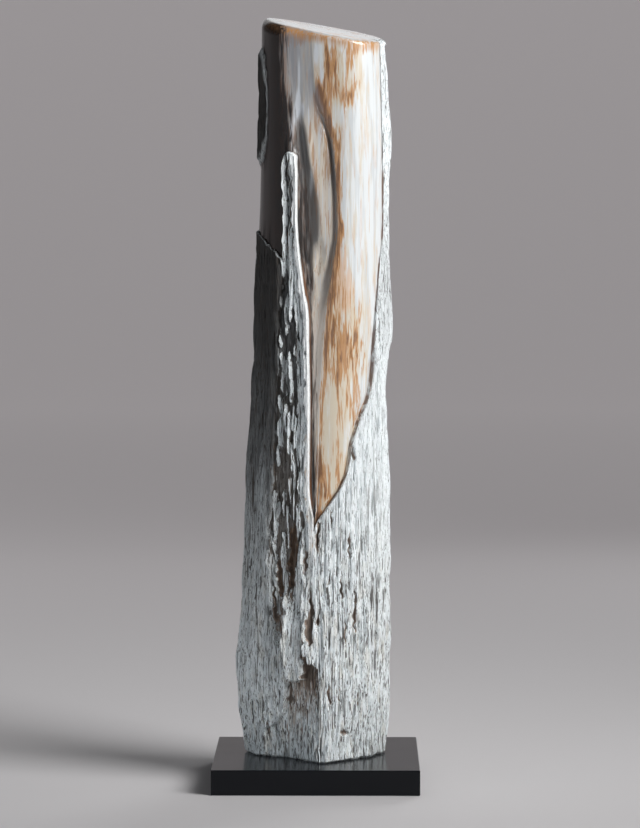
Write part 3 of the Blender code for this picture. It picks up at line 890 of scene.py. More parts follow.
class Graph:
    """A material's node tree, with the few ways this scene adds nodes to it."""

    def __init__(self, name: str) -> None:
        """Start an empty material with a Principled shader.

        Args:
            name: the material's name.
        """
        self.material = bpy.data.materials.new(name)
        self.material.use_nodes = True
        self.tree = self.material.node_tree
        self.shader = self.tree.nodes["Principled BSDF"]
        coordinates = self.tree.nodes.new("ShaderNodeTexCoord")
        self.place = coordinates.outputs["Object"]

    def node(self, kind: str, settings: dict, sockets: dict) -> bpy.types.Node:
        """Add one node.

        Args:
            kind: the node's type.
            settings: its own settings, set first.
            sockets: a value, a socket or a Number for each input, by name or place.

        Returns:
            The new node.
        """
        made = self.tree.nodes.new(kind)
        for name, value in settings.items():
            setattr(made, name, value)
        for name, value in sockets.items():
            self.feed(made.inputs[name], value)
        return made

    def feed(self, target: bpy.types.NodeSocket, value: object) -> None:
        """Link a socket or a Number to an input, or set the input's own value.

        Args:
            target: the input.
            value: a socket, a Number, a colour or a plain value.
        """
        if isinstance(value, Number):
            value = value.socket
        if isinstance(value, bpy.types.NodeSocket):
            self.tree.links.new(value, target)
        elif isinstance(value, tuple) and len(value) == 3 and target.type == "RGBA":
            target.default_value = (*value, 1.0)
        else:
            target.default_value = value

    def put(self, name: str, value: object) -> None:
        """Feed that input of the shader."""
        self.feed(self.shader.inputs[name], value)

    def mark(self, mark: Mark) -> Number:
        """What the mesh says of each point under that name."""
        node = self.node("ShaderNodeAttribute", {"attribute_name": mark.value}, {})
        return Number(self, node.outputs["Fac"])

    def axis(self, name: str) -> Number:
        """One coordinate of the place on the object, in millimetres."""
        node = self.node("ShaderNodeSeparateXYZ", {}, {0: self.place})
        return Number(self, node.outputs[name]) * (1 / MM)

    def grain(self, across: float, along: float, detail: float = 3.0, bent: float = 0.0) -> Number:
        """Noise drawn out along the grain.

        Args:
            across: the size of a swing across the grain, in millimetres.
            along: its size along the grain.
            detail: how many finer octaves it has.
            bent: how far it is distorted.

        Returns:
            The noise, from 0 to 1 about 0.5.
        """
        scale = (1 / (across * MM), 1 / (across * MM), 1 / (along * MM))
        mapped = self.node("ShaderNodeMapping", {}, {"Vector": self.place, "Scale": scale})
        sockets = {"Vector": mapped.outputs[0], "Scale": 1.0, "Detail": detail, "Distortion": bent}
        return Number(self, self.node("ShaderNodeTexNoise", {}, sockets).outputs["Fac"])

    def blend(self, share: Number, start: object, end: object) -> bpy.types.NodeSocket:
        """The socket of a colour between two, each a colour or a socket, by that share."""
        return self.node("ShaderNodeMix", {"data_type": "RGBA"}, {0: share, 6: start, 7: end}).outputs[2]

    def spot(self, stain: "FrontSpot") -> Number:
        """A soft upright oval on the front.

        Args:
            stain: its place, size and strength.

        Returns:
            The stain's strength at its middle, falling to 0 outside.
        """
        middle = (stain.x * MM, 0.0, stain.z * MM)
        shrink = (1 / (stain.wide * MM), 0.0, 1 / (stain.tall * MM))
        moved = self.node("ShaderNodeVectorMath", {"operation": "SUBTRACT"}, {0: self.place, 1: middle})
        return stain.strength * self.length(moved.outputs[0], shrink).eased(1.15, 0.25)

    def spots(self, stains: "tuple[FrontSpot, ...]") -> Number:
        """The sum of those ovals."""
        return sum(self.spot(stain) for stain in stains)

    def length(self, vector: bpy.types.NodeSocket, scale: tuple[float, float, float]) -> Number:
        """The length of a vector once each of its axes is scaled.

        Args:
            vector: the vector's socket.
            scale: the scale of each axis.

        Returns:
            The length.
        """
        scaled = self.node("ShaderNodeVectorMath", {"operation": "MULTIPLY"}, {0: vector, 1: scale})
        node = self.node("ShaderNodeVectorMath", {"operation": "LENGTH"}, {0: scaled.outputs[0]})
        return Number(self, node.outputs["Value"])

    def relief(self, height: Number, distance: float) -> bpy.types.NodeSocket:
        """The normal of a fine relief of that height in metres for each unit."""
        node = self.node("ShaderNodeBump", {}, {"Strength": 1.0, "Distance": distance, "Height": height})
        return node.outputs["Normal"]


class Paint:
    """A colour laid on in coats."""

    def __init__(self, graph: Graph, colour: object) -> None:
        """Start with one colour all over."""
        self.graph = graph
        self.colour = colour

    def coat(self, share: Number, colour: object) -> None:
        """Cover what is there by that share of a colour or of another paint."""
        over = colour.colour if isinstance(colour, Paint) else colour
        self.colour = self.graph.blend(share, self.colour, over)


# ---------------------------------------------------------------- finishes


@dataclass(frozen=True)
class FrontSpot:
    """A soft oval on the stone, in millimetres: the iron stains and warm places, and also the painted
    highlights and one painted shade.
    """

    x: float
    z: float
    wide: float
    tall: float
    strength: float


@dataclass
class Figure:
    """The polished stone's streaks from broad to fine, its iron stains, and its dark left side, which is
    dark stone and painted shade.
    """

    bands: Number
    streaks: Number
    threads: Number
    stain: Number
    dark: Number


@dataclass(frozen=True)
class StoneFinish:
    """Petrified wood: bone-coloured raw skin, and polished stone with iron stains, with painted shade and
    painted highlights in its colour.
    """

    white: Colour = (0.70, 0.725, 0.725)
    milk: Colour = (0.56, 0.585, 0.59)
    cream: Colour = (0.64, 0.56, 0.43)
    amber: Colour = (0.50, 0.255, 0.10)
    umber: Colour = (0.165, 0.075, 0.036)
    peach: Colour = (0.68, 0.45, 0.29)
    # painted shade in the carved valleys
    shade: Colour = (0.34, 0.30, 0.265)
    ridge: Colour = (0.83, 0.74, 0.61)
    # the valleys' painted shade, paler low down
    pale_shade: Colour = (0.60, 0.53, 0.46)
    face: Colour = (0.54, 0.56, 0.56)
    # painted highlight: the pale blue-white glint on the polished folds
    painted_highlight: Colour = (0.70, 0.74, 0.78)
    # painted shade deep in the folds
    deep_fold_shade: Colour = (0.055, 0.055, 0.058)
    # grey painted shade with a cool painted reflection, high on the folds
    high_fold_shade: Colour = (0.245, 0.25, 0.27)
    # the dark left side: dark stone and painted shade
    dark_heart_and_shade: Colour = (0.012, 0.012, 0.0125)
    heart_red: Colour = (0.034, 0.017, 0.011)
    bone: Colour = (0.885, 0.935, 0.94)
    ash: Colour = (0.785, 0.835, 0.845)
    # painted shade on the raw skin's left side, nearly black
    left_side_shade: Colour = (0.024, 0.021, 0.019)
    # painted shade on the split zone's floor, browner low down
    split_floor_shade: Colour = (0.15, 0.122, 0.098)
    smooth: Colour = (0.84, 0.86, 0.855)
    # painted shade in the raw skin's creases and hollows, and its dark crack lines
    crevice_shade_and_cracks: Colour = (0.058, 0.046, 0.037)
    rust: Colour = (0.27, 0.15, 0.075)
    polish: float = 0.26
    folds: float = 0.42
    rough: float = 0.85
    stains: tuple[FrontSpot, ...] = rows(
        FrontSpot, (12, 858, 6, 34, 1.25), (21, 862, 10, 26, 0.85), (20, 834, 9, 30, 0.8),
        (7, 818, 12, 26, 1.1), (14, 786, 8, 30, 0.9), (38, 862, 12, 26, 0.8), (36, 812, 9, 20, 0.6),
        (58, 876, 24, 16, 0.65), (-28, 884, 26, 12, 1.0), (-38, 840, 8, 60, 0.7), (40, 826, 20, 26, 0.5),
        (2, 800, 8, 34, 0.9), (13, 748, 8, 40, 0.75), (24, 605, 12, 56, 0.6), (34, 545, 27, 54, 0.62),
        (21, 520, 14, 55, 0.7), (46, 505, 16, 40, 0.7), (30, 462, 12, 48, 0.65), (47, 450, 12, 36, 0.7),
        (27, 385, 10, 44, 0.7), (12, 365, 9, 36, 0.65), (14, 340, 9, 24, 0.7), (3, 385, 5, 24, 1.0),
        (5, 318, 7, 15, 0.8), (-7, 774, 2.4, 14, 1.0), (-3, 751, 3.2, 20, 1.0), (-0.5, 710, 2.8, 40, 1.0),
        (15, 672, 1.6, 24, 0.8), (26, 770, 6, 26, 0.75), (27, 712, 5, 44, 0.7), (29, 655, 7, 30, 0.7),
    )
    peach_places: tuple[FrontSpot, ...] = rows(
        FrontSpot, (27, 622, 11, 34, 1.0), (30, 580, 17, 44, 1.0),
    )
    # Painted highlights: the glints on the polished folds, high on the front.
    painted_highlights: tuple[FrontSpot, ...] = rows(
        FrontSpot, (-21, 808, 4.2, 22, 1.15), (-20, 842, 2.2, 30, 0.8), (-15.5, 800, 3.0, 13, 0.8),
        (-24.5, 796, 3.2, 17, 0.9), (-28.8, 777, 3.4, 28, 0.85), (-9, 794, 1.8, 16, 0.6),
        (0, 866, 4.5, 18, 0.85), (6, 842, 2.2, 18, 0.7), (-5.5, 716, 3.0, 22, 0.6), (16, 692, 2.0, 40, 0.6),
        (30, 872, 1.2, 8, 0.9),
    )
    # painted shade on the raw skin's right strip
    shaded_strip: FrontSpot = FrontSpot(84, 590, 15, 90, 1.0)
    warm_places: tuple[FrontSpot, ...] = rows(
        FrontSpot, (30, 520, 34, 130, 0.9), (18, 390, 30, 110, 1.2), (34, 840, 34, 50, 0.6),
    )

    def figure(self, graph: Graph) -> Figure:
        """Draw the polished stone's streaks and stains.

        Args:
            graph: the material's graph.

        Returns:
            The streaks and stains.
        """
        beside_crest = graph.mark(Mark.CREST).between(-3.0, 1.0, 3.0, 9.0)
        streaks = graph.grain(3.4, 42, 3.0, 0.5).eased(*CRISP)
        return Figure(
            bands=graph.grain(9.0, 90, 3.0, 0.4).eased(0.38, 0.62),
            streaks=streaks,
            threads=graph.grain(1.3, 17, 3.0, 0.3).eased(*CRISP),
            stain=0.85 * beside_crest * graph.axis("Z").eased(880, 820) + graph.spots(self.stains),
            dark=(graph.mark(Mark.LEFT) + 9 * (streaks - 0.5)).eased(12.0, -1.0),
        )

    def front(self, graph: Graph, figure: Figure) -> Paint:
        """The broad polished face: white and cream, with peach and rusty stains.

        Args:
            graph: the material's graph.
            figure: the polished stone's streaks and stains.

        Returns:
            Its paint.
        """
        wash = 0.45 * figure.bands + 0.3 * figure.streaks + 0.2 * figure.threads
        wash = wash + 0.5 * graph.spots(self.warm_places) + 0.35 * figure.stain
        clouds = graph.grain(5.5, 130, 2.0, 0.3).eased(0.42, 0.62) + 0.5 * figure.streaks
        peachy = graph.spots(self.peach_places) + 0.9 * figure.streaks - 0.45
        mottled = figure.stain + 0.75 * figure.streaks + 0.5 * figure.threads
        paint = Paint(graph, self.white)
        paint.coat(clouds.eased(0.4, 1.3) * 0.8, self.milk)
        paint.coat(wash.eased(0.4, 1.1) * 0.95, self.cream)
        paint.coat(peachy.eased(0.2, 0.9) * 0.75, self.peach)
        paint.coat(mottled.eased(1.05, 1.6) * 0.95, self.amber)
        paint.coat((mottled + 0.3 * figure.bands).eased(1.75, 2.3) * 0.85, self.umber)
        return paint

    def carved(self, graph: Graph, figure: Figure, high: Number) -> Paint:
        """The folds left of the broad face: a pale ridge with painted highlight streaks between valleys in
        painted shade, grey painted shade where high.

        Args:
            graph: the material's graph.
            figure: the polished stone's streaks and stains.
            high: 1 high up, where the folds take a grey painted shade.

        Returns:
            Its paint.
        """
        crest, ridge, height = graph.mark(Mark.CREST), graph.mark(Mark.RIDGE), graph.axis("Z")
        rusty = figure.threads * figure.streaks + 0.25 * ridge + 0.8 * figure.stain
        # painted shade by the folds' depth, high up and in the valley beside the finger
        beside_finger = height.eased(570, 640) * crest.eased(-22, -29) * 0.7
        sunk_shade = graph.mark(Mark.FOLD).eased(2.0, 6.5) * height.eased(680, 745).above(beside_finger)
        # painted shade over the folds, paler low down
        paint = Paint(graph, self.shade)
        paint.coat(height.eased(600, 540), self.pale_shade)
        paint.coat(ridge * (0.75 + 0.25 * figure.bands), self.ridge)
        # painted highlight streaks along the ridge
        paint.coat(ridge * graph.grain(2.2, 70, 2.0, 0.3).eased(0.5, 0.66) * 0.7, self.painted_highlight)
        paint.coat(rusty.eased(0.6, 1.3) * 0.75, self.amber)
        # grey painted shade with a cool painted reflection high up
        paint.coat(high * (0.95 - 0.3 * figure.streaks), self.high_fold_shade)
        paint.coat(sunk_shade * 0.85, self.deep_fold_shade)
        return paint

    def polished(self, graph: Graph, figure: Figure) -> Paint:
        """The polished stone's colour: the front, the folds, the painted highlights, the dark side and the
        top; the dark side is dark stone and painted shade.

        Args:
            graph: the material's graph.
            figure: the polished stone's streaks and stains.

        Returns:
            Its paint.
        """
        streaks, threads, dark = figure.streaks, figure.threads, figure.dark
        high = graph.axis("Z").eased(760, 830)
        inside = (graph.mark(Mark.CREST) + 5 * (streaks - 0.5)).eased(2.5, -4.5)
        # where the painted highlights lie
        pale = graph.spots(self.painted_highlights) + 0.3 * (streaks - 0.5)
        dark_heart_and_shade = Paint(graph, self.dark_heart_and_shade)
        dark_heart_and_shade.coat(threads * 0.7, self.heart_red)
        top = graph.mark(Mark.TOP)
        band = top.between(-0.5, 2.5, 5.0, 15.0) * (0.35 + 0.5 * streaks + 0.4 * threads)
        blotches = graph.grain(24, 24, 5.0, 1.2) + 0.5 * graph.grain(5, 5, 3.0, 0.8)
        face = Paint(graph, self.face)
        face.coat(blotches.eased(0.70, 0.92) * 0.7, self.amber)

        paint = self.front(graph, figure)
        paint.coat(inside * (0.92 - 0.25 * high * figure.bands), self.carved(graph, figure, high))
        paint.coat(pale.eased(0.0, 1.0) * 0.85, self.painted_highlight)
        paint.coat(dark * 4 * (1 - dark) * threads * 0.7, self.umber)
        # the dark left side: dark stone and painted shade
        paint.coat(dark, dark_heart_and_shade)
        paint.coat(band * (0.9 - 0.75 * dark), self.amber)
        paint.coat(top.eased(1.5, 0.3) * 0.9, face)
        return paint

    def raw(self, graph: Graph, fibres: Number) -> Paint:
        """The raw skin's colour, with painted shade on its left side, in the split zone, and in its creases
        and hollows.

        Args:
            graph: the material's graph.
            fibres: the height of the finest fibres.

        Returns:
            Its paint.
        """
        height, flank, hollow = graph.axis("Z"), graph.mark(Mark.FLANK), graph.mark(Mark.HOLLOW)
        threads = graph.grain(2.0, 22, 4.0, 0.2).eased(*CRISP)
        gaps = graph.grain(2.4, 15.0, 2.0, 0.3)

        patches = graph.grain(26, 120, 3.0, 0.5).eased(0.4, 0.6) + 0.8 * threads
        earthy = graph.grain(8, 34, 3.0, 0.5).eased(0.5, 0.66) * height.eased(380, 160)
        paint = Paint(graph, self.bone)
        paint.coat(patches.eased(0.5, 1.8), self.ash)
        # painted shade on the right strip
        paint.coat(graph.spot(self.shaded_strip) * (0.4 + 0.4 * threads), self.milk)
        paint.coat(earthy * 0.3, self.cream)

        # painted shade on the raw skin's left side, fuller higher up
        aged = graph.mark(Mark.AGED)
        even = threads.above(aged.eased(0.78, 1.0) * 0.9)
        ragged = 2.0 * (threads - 0.5) + 1.6 * (gaps.eased(0.35, 0.65) - 0.5)
        # painted shade on the split zone's floor where it lies deep
        sunk_shade = (graph.mark(Mark.SPLIT) + ragged).eased(2.3, 2.9)
        floor = Paint(graph, self.left_side_shade)
        floor.coat(height.eased(560, 340), self.split_floor_shade)
        paint.coat(aged * (0.75 + 0.25 * even), self.left_side_shade)
        paint.coat(sunk_shade * (0.8 + 0.15 * threads), floor)
        paint.coat((hollow * 0.4 + 0.6 * threads).eased(0.7, 1.5) * 0.8, self.rust)

        specks = graph.grain(3.0, 12, 3.0, 0.4).eased(0.56, 0.66) * height.eased(480, 320)
        tan = graph.grain(4.0, 30, 2.0, 0.4).eased(0.46, 0.58) * height.eased(400, 300)
        paint.coat(flank, self.smooth)
        paint.coat(flank * specks.above(tan * 0.6) * 0.6, self.cream)
        paint.coat(flank * specks * 0.5, self.amber)
        paint.coat(self.cracks_and_shade(graph, fibres, gaps) * (1 - 0.4 * flank), self.crevice_shade_and_cracks)
        return paint

    def cracks_and_shade(self, graph: Graph, fibres: Number, gaps: Number) -> Number:
        """How dark the raw skin's creases, cracks and hollows are: painted shade by the depth of the creases
        and hollows, and dark crack lines.

        Args:
            graph: the material's graph.
            fibres: the height of the finest fibres.
            gaps: the noise of the short gaps.

        Returns:
            The share of the crevices' colour, from 0 to 1.
        """
        height, crest = graph.axis("Z"), graph.mark(Mark.CREST)
        right_of_tip = crest.between(2, 30, 120, 200) * height.between(250, 340, 490, 550)
        more = height.eased(420, 300) * 0.044
        flecks = graph.grain(1.1, 6.0, 2.0, 0.3)
        cracks = graph.grain(1.2, 28.0, 2.0, 0.35)
        clefts = graph.grain(2.6, 95.0, 3.0, 0.5)
        # painted shade by the depth of the fine creases and of the fibres' relief
        deep = graph.mark(Mark.CAVITY).eased(2.4, 4.6) * 0.7
        deep = deep.above(flecks.eased(0.63, 0.66) * 0.85).above(fibres.eased(0.36, 0.32) * 0.8)
        deep = deep.above((cracks - 0.7 * more).eased(0.372, 0.345) * 0.9)
        deep = deep.above((gaps + 0.4 * more).eased(0.685, 0.71) * 0.8)
        deep = deep.above((clefts - more).eased(0.35, 0.325) * 0.9) * (1 - 0.4 * right_of_tip)
        # painted shade in the hollows, by how dark they look
        return deep.above(graph.mark(Mark.HOLLOW).eased(2.2, 4.5) * 0.62)

    def seam(self, graph: Graph) -> Number:
        """The thin brown line where the raw skin meets the polished front: a brown stain and the painted
        shadow of the skin's step.

        Args:
            graph: the material's graph.

        Returns:
            How brown it is, from 0 to 1.
        """
        edge, crest, height = graph.mark(Mark.EDGE), graph.mark(Mark.CREST), graph.axis("Z")
        patchy = graph.grain(5.0, 26, 2.0).eased(0.36, 0.56) * (1 - 0.8 * height.eased(720, 800))
        right = edge.between(-1.5, -0.4, 0.1, 0.9) * crest.eased(-4.0, 4.0)
        left = edge.between(-2.2, -1.2, -0.4, 0.2) * crest.eased(-4.0, -7.0)
        return (right * patchy).above(left * height.eased(640, 590))

    def material(self) -> bpy.types.Material:
        """Build the stone's material.

        Returns:
            The material.
        """
        graph = Graph("petrified wood")
        raw = graph.mark(Mark.EDGE).eased(-0.4, 0.5)
        fibres = 0.6 * graph.grain(1.6, 24.0, 3.0) + 0.4 * graph.grain(0.9, 8.0, 2.0)
        figure = self.figure(graph)
        paint = self.polished(graph, figure)
        paint.coat(raw, self.raw(graph, fibres))
        # the seam's brown line, partly painted shadow
        paint.coat(self.seam(graph) * 0.85, self.umber)
        graph.put("Base Color", paint.colour)
        smooth = 1 - 0.45 * graph.mark(Mark.FLANK)
        folded = graph.mark(Mark.FOLD).eased(1.5, 5.0) * (1 - raw)
        rough = self.polish + raw * (self.rough - self.polish) * smooth + folded * (self.folds - self.polish)
        graph.put("Roughness", rough)
        coated = 0.5 * (1 - raw) * (1 - 0.8 * folded) * (1 - 0.6 * figure.dark)
        graph.put("Coat Weight", coated)
        graph.put("Coat Roughness", 0.10)
        ripple = graph.grain(6.0, 80.0, 1.0)
        fibrous = raw * (1 - 0.85 * graph.mark(Mark.FLANK))
        height = (fibres + 0.35 * graph.grain(3.6, 50.0, 2.0)) * fibrous + ripple * (1 - raw) * 0.05
        graph.put("Normal", graph.relief(height, 3.8 * MM))
        return graph.material


@dataclass(frozen=True)
class LacquerFinish:
    """Black gloss lacquer, rubbed by hand, with a breath of haze."""

    colour: Colour = (0.0045, 0.0052, 0.0068)
    haze: Span = (0.13, 0.22)

    def material(self) -> bpy.types.Material:
        """Build the lacquer's material.

        Returns:
            The material.
        """
        graph = Graph("black lacquer")
        clouds = graph.grain(38, 38, 3.0)
        low, high = self.haze
        graph.put("Base Color", self.colour)
        graph.put("IOR", 1.3)
        graph.put("Roughness", low + (high - low) * clouds)
        brushed = graph.grain(1.4, 1.4, 2.0)
        graph.put("Normal", graph.relief(brushed, 0.01 * MM))
        return graph.material


@dataclass(frozen=True)
class StudioFinish:
    """The plain pale paper of the studio's floor and wall, with a soft glow far off."""

    colour: Colour = (0.62, 0.60, 0.60)
    glow: Colour = (0.23, 0.218, 0.222)
    glow_starts: Span = (250, 2600)
    glow_fades: Span = (3600, 1700)

    def material(self) -> bpy.types.Material:
        """Build the paper's material.

        Returns:
            The material.
        """
        graph = Graph("studio paper")
        graph.put("Base Color", self.colour)
        graph.put("Roughness", 0.9)
        far = graph.length(graph.place, (1 / MM, 1 / MM, 0.0)).eased(*self.glow_starts)
        share = far * graph.axis("Z").eased(*self.glow_fades)
        glow = graph.blend(share, (0.0, 0.0, 0.0), self.glow)
        graph.put("Emission Color", glow)
        graph.put("Emission Strength", 1.0)
        return graph.material


# ---------------------------------------------------------------- meshes


def mesh_from(name: str, points: Array, faces: list[Array]) -> bpy.types.Mesh:
    """Make a mesh from points in metres.

    Args:
        name: the mesh's name.
        points: one row for each point.
        faces: arrays of faces, each with its own number of corners.

    Returns:
        The mesh, shaded smooth.
    """
    mesh = bpy.data.meshes.new(name)
    sizes = np.concatenate([np.full(len(f), f.shape[1]) for f in faces])
    corners = np.concatenate([f.ravel() for f in faces])
    mesh.vertices.add(len(points))
    mesh.vertices.foreach_set("co", np.ascontiguousarray(points, np.float32).ravel())
    mesh.loops.add(len(corners))
    mesh.loops.foreach_set("vertex_index", corners.astype(np.int32))
    mesh.polygons.add(len(sizes))
    starts = np.concatenate([[0], np.cumsum(sizes)[:-1]])
    mesh.polygons.foreach_set("loop_start", starts.astype(np.int32))
    mesh.update(calc_edges=True)
    mesh.shade_smooth()
    return mesh


def finished(piece: bpy.types.Object) -> bpy.types.Object:
    """Turn what a piece's modifiers make into its own plain mesh.

    Args:
        piece: the object.

    Returns:
        The same object, with no modifiers.
    """
    graph = bpy.context.evaluated_depsgraph_get()
    plain = bpy.data.meshes.new_from_object(piece.evaluated_get(graph), depsgraph=graph)
    piece.modifiers.clear()
    piece.data = plain
    return piece


def smoothed(name: str, bm: bmesh.types.BMesh) -> bpy.types.Mesh:
    """Turn an editable mesh into a plain one, shaded smooth.

    Args:
        name: the plain mesh's name.
        bm: the editable mesh, which is freed.

    Returns:
        The plain mesh.
    """
    mesh = bpy.data.meshes.new(name)
    bm.to_mesh(mesh)
    bm.free()
    mesh.shade_smooth()
    return mesh


def linked(name: str, data: bpy.types.ID) -> bpy.types.Object:
    """Put a new object in the scene.

    Args:
        name: its name.
        data: its mesh, light or camera.

    Returns:
        The object.
    """
    made = bpy.data.objects.new(name, data)
    bpy.context.scene.collection.objects.link(made)
    return made


@dataclass
class PetrifiedColumn:
    """The stone: one closed mesh from foot to polished top, in place of the plain solid."""

    form: StoneForm = field(default_factory=StoneForm)
    finish: StoneFinish = field(default_factory=StoneFinish)
    columns: int = 800
    side_rings: int = 470
    rim_rings: int = 8
    top_rings: int = 14
    foot_rings: int = 4
    triangles: int = 197_000
    cap_share: float = 0.12
    cap_reach: float = 100
    cap_tilt: float = 0.7
    cap_near: Span = (6, 1)
    crisp_over: float = 38.0

    def rings(self) -> tuple[Array, dict[Mark, Array]]:
        """Every ring of the stone from foot to top.

        Returns:
            The points in millimetres, one row for each ring, and what each says of itself.
        """
        form = self.form
        share = np.linspace(0, 1, self.side_rings)[:, None]
        sections = form.sections_at(form.foot + share[:, 0] * (form.top_centre - form.foot), self.columns)
        x, y = sections[..., 0], sections[..., 1]
        loose = ease(*form.loose_left, -x) * (1 - ease(*form.loose_front, y))
        rim = form.rim_tight + (form.rim_loose - form.rim_tight) * loose
        z = form.foot + share * (form.top_at(sections) - rim - form.foot)
        offset, marks = form.surface(x, y, z)
        flat = sections + form.outward(sections) * offset[..., None]
        side = np.concatenate([flat, z[..., None]], axis=-1)

        edge, edge_rim = flat[-1], rim[-1]
        way_in = -form.outward(edge)
        top = []
        for turn in np.linspace(0, math.pi / 2, self.rim_rings + 1)[1:]:
            inset = edge + way_in * (edge_rim * (1 - math.cos(turn)))[:, None]
            top.append(np.column_stack([inset, form.top_at(inset) - edge_rim * (1 - math.sin(turn))]))
        middle = edge.mean(axis=0)
        for keep in np.linspace(1, 0, self.top_rings + 2)[1:-1]:
            inset = middle + (top[self.rim_rings - 1][:, :2] - middle) * keep
            top.append(np.column_stack([inset, form.top_at(inset)]))

        lowest = flat[0] - form.outward(flat[0]) * (form.chip / 2)
        centre = lowest.mean(axis=0)
        side[0, :, 2] += form.chip / 2
        base = [
            np.column_stack([centre + (lowest - centre) * keep, np.full(self.columns, form.foot)])
            for keep in np.linspace(0, 1, self.foot_rings + 1)[1:]
        ]
        points = np.stack([*base, *side, *top])
        filled = {mark: self.spread(value, mark, len(base), np.stack(top)) for mark, value in marks.items()}
        return points, filled

    def spread(self, value: Array, mark: Mark, below: int, top: Array) -> Array:
        """Carry a mark's values from the side on to the foot and the top.

        Args:
            value: the mark on the side rings.
            mark: which mark it is.
            below: how many rings the foot has.
            top: the points of the rings of the rim and the top.

        Returns:
            The mark on every ring.
        """
        over = np.repeat(value[-1:], len(top), axis=0)
        if mark is Mark.TOP:
            over = self.form.top_at(top[..., :2]) - top[..., 2]
        if mark is Mark.LEFT:
            over = value[-1:] + (top[..., 0] - top[:1, :, 0])
        return np.concatenate([np.repeat(value[:1], below, axis=0), value, over])

    def shell(self) -> bpy.types.Object:
        """The closed mesh at its full fineness, with its marks.

        Returns:
            The piece, before it is thinned.
        """
        points, marks = self.rings()
        rings, columns, _ = points.shape
        body = points.reshape(-1, 3)
        ends = np.array([points[0].mean(axis=0), points[-1].mean(axis=0)])
        index = np.arange(rings * columns).reshape(rings, columns)
        following = np.roll(index, -1, axis=1)
        walls = np.stack([index[:-1], following[:-1], following[1:], index[1:]], axis=-1).reshape(-1, 4)
        foot = np.stack([following[0], index[0], np.full(columns, len(body))], axis=-1)
        top = np.stack([index[-1], following[-1], np.full(columns, len(body) + 1)], axis=-1)
        mesh = mesh_from("petrified_column", np.concatenate([body, ends]) * MM, [walls, foot, top])
        for mark, value in marks.items():
            layer = mesh.attributes.new(mark.value, "FLOAT", "POINT")
            values = np.concatenate([value.ravel(), [value[0].mean(), value[-1].mean()]])
            layer.data.foreach_set("value", values.astype(np.float32))
        return linked("petrified_column", mesh)

    def unwrap(self, mesh: bpy.types.Mesh) -> None:
        """Lay the stone out on its own UV map: the side round the square, the two ends above.

        Args:
            mesh: the finished mesh.
        """
        count = len(mesh.loops)
        corner = np.empty(count, np.int32)
        mesh.loops.foreach_get("vertex_index", corner)
        co = np.empty(len(mesh.vertices) * 3, np.float32)
        mesh.vertices.foreach_get("co", co)
        co = co.reshape(-1, 3) / MM
        normal = np.empty(len(mesh.polygons) * 3, np.float32)
        mesh.polygons.foreach_get("normal", normal)
        tilt = normal.reshape(-1, 3)[:, 2]
        place = co[corner]
        turn = (np.arctan2(place[:, 1], place[:, 0]) / math.tau + 0.75) % 1.0
        face_turn = turn.reshape(-1, 3)
        wraps = np.ptp(face_turn, axis=1) > 0.5
        face_turn[wraps] += np.where(face_turn[wraps] < 0.5, 1.0, 0.0)
        side_share = 1 - self.cap_share
        height = (place[:, 2] - self.form.foot) / (self.form.top_centre + 20 - self.form.foot)
        uv = np.column_stack([0.004 + 0.975 * face_turn.ravel(), 0.003 + (side_share - 0.01) * height])
        below_top = (self.form.top_at(place[:, :2]) - place[:, 2]).reshape(-1, 3).max(axis=1)
        over_foot = place[:, 2].reshape(-1, 3).max(axis=1) - self.form.foot
        near_top, near_foot = self.cap_near
        on_top = np.repeat((below_top < near_top) & (tilt > self.cap_tilt), 3)
        on_foot = np.repeat((over_foot < near_foot) & (tilt < -self.cap_tilt), 3)
        across, deep = ((place[:, axis] + self.cap_reach) / (2 * self.cap_reach) for axis in (0, 1))
        for chosen, start in ((on_top, 0.01), (on_foot, 0.51)):
            uv[chosen, 0] = start + 0.48 * across[chosen]
            uv[chosen, 1] = side_share + (self.cap_share - 0.005) * deep[chosen]
        layer = mesh.uv_layers.new(name="OFBake")
        layer.data.foreach_set("uv", uv.astype(np.float32).ravel())

    def build(self) -> bpy.types.Object:
        """Build and dress the stone.

        Returns:
            The finished piece.
        """
        piece = self.shell()
        full = sum(len(face.vertices) - 2 for face in piece.data.polygons)
        thin = piece.modifiers.new("thin where smooth", "DECIMATE")
        thin.ratio = self.triangles / full
        thin.use_collapse_triangulate = True
        finished(piece)
        self.unwrap(piece.data)
        piece.data.set_sharp_from_angle(angle=math.radians(self.crisp_over))
        piece.data.materials.clear()
        piece.data.materials.append(self.finish.material())
        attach(piece, BODY)
        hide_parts("column")
        LOG.info("%s: %d triangles from %d", piece.name, len(piece.data.polygons), full)
        return piece


@dataclass
class Plinth:
    """The square block under the stone, with a fine rounded edge."""

    edge: float = 1.2 * MM
    edge_steps: int = 4
    finish: LacquerFinish = field(default_factory=LacquerFinish)

    def build(self) -> bpy.types.Object:
        """Build and dress the plinth where its solid stands.

        Returns:
            The finished piece.
        """
        low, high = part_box("plinth")
        bm = bmesh.new()
        bmesh.ops.create_cube(bm, size=1.0)
        for vertex in bm.verts:
            vertex.co = Vector(high[i] if vertex.co[i] > 0 else low[i] for i in range(3))
        piece = linked("lacquered_plinth", smoothed("lacquered_plinth", bm))
        bevel = piece.modifiers.new("fine edge", "BEVEL")
        bevel.width = self.edge
        bevel.segments = self.edge_steps
        bevel.harden_normals = True
        finished(piece)
        piece.data.materials.append(self.finish.material())
        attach(piece, BODY)
        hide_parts("plinth")
        LOG.info("%s: %d faces", piece.name, len(piece.data.polygons))
        return piece


# ---------------------------------------------------------------- studio


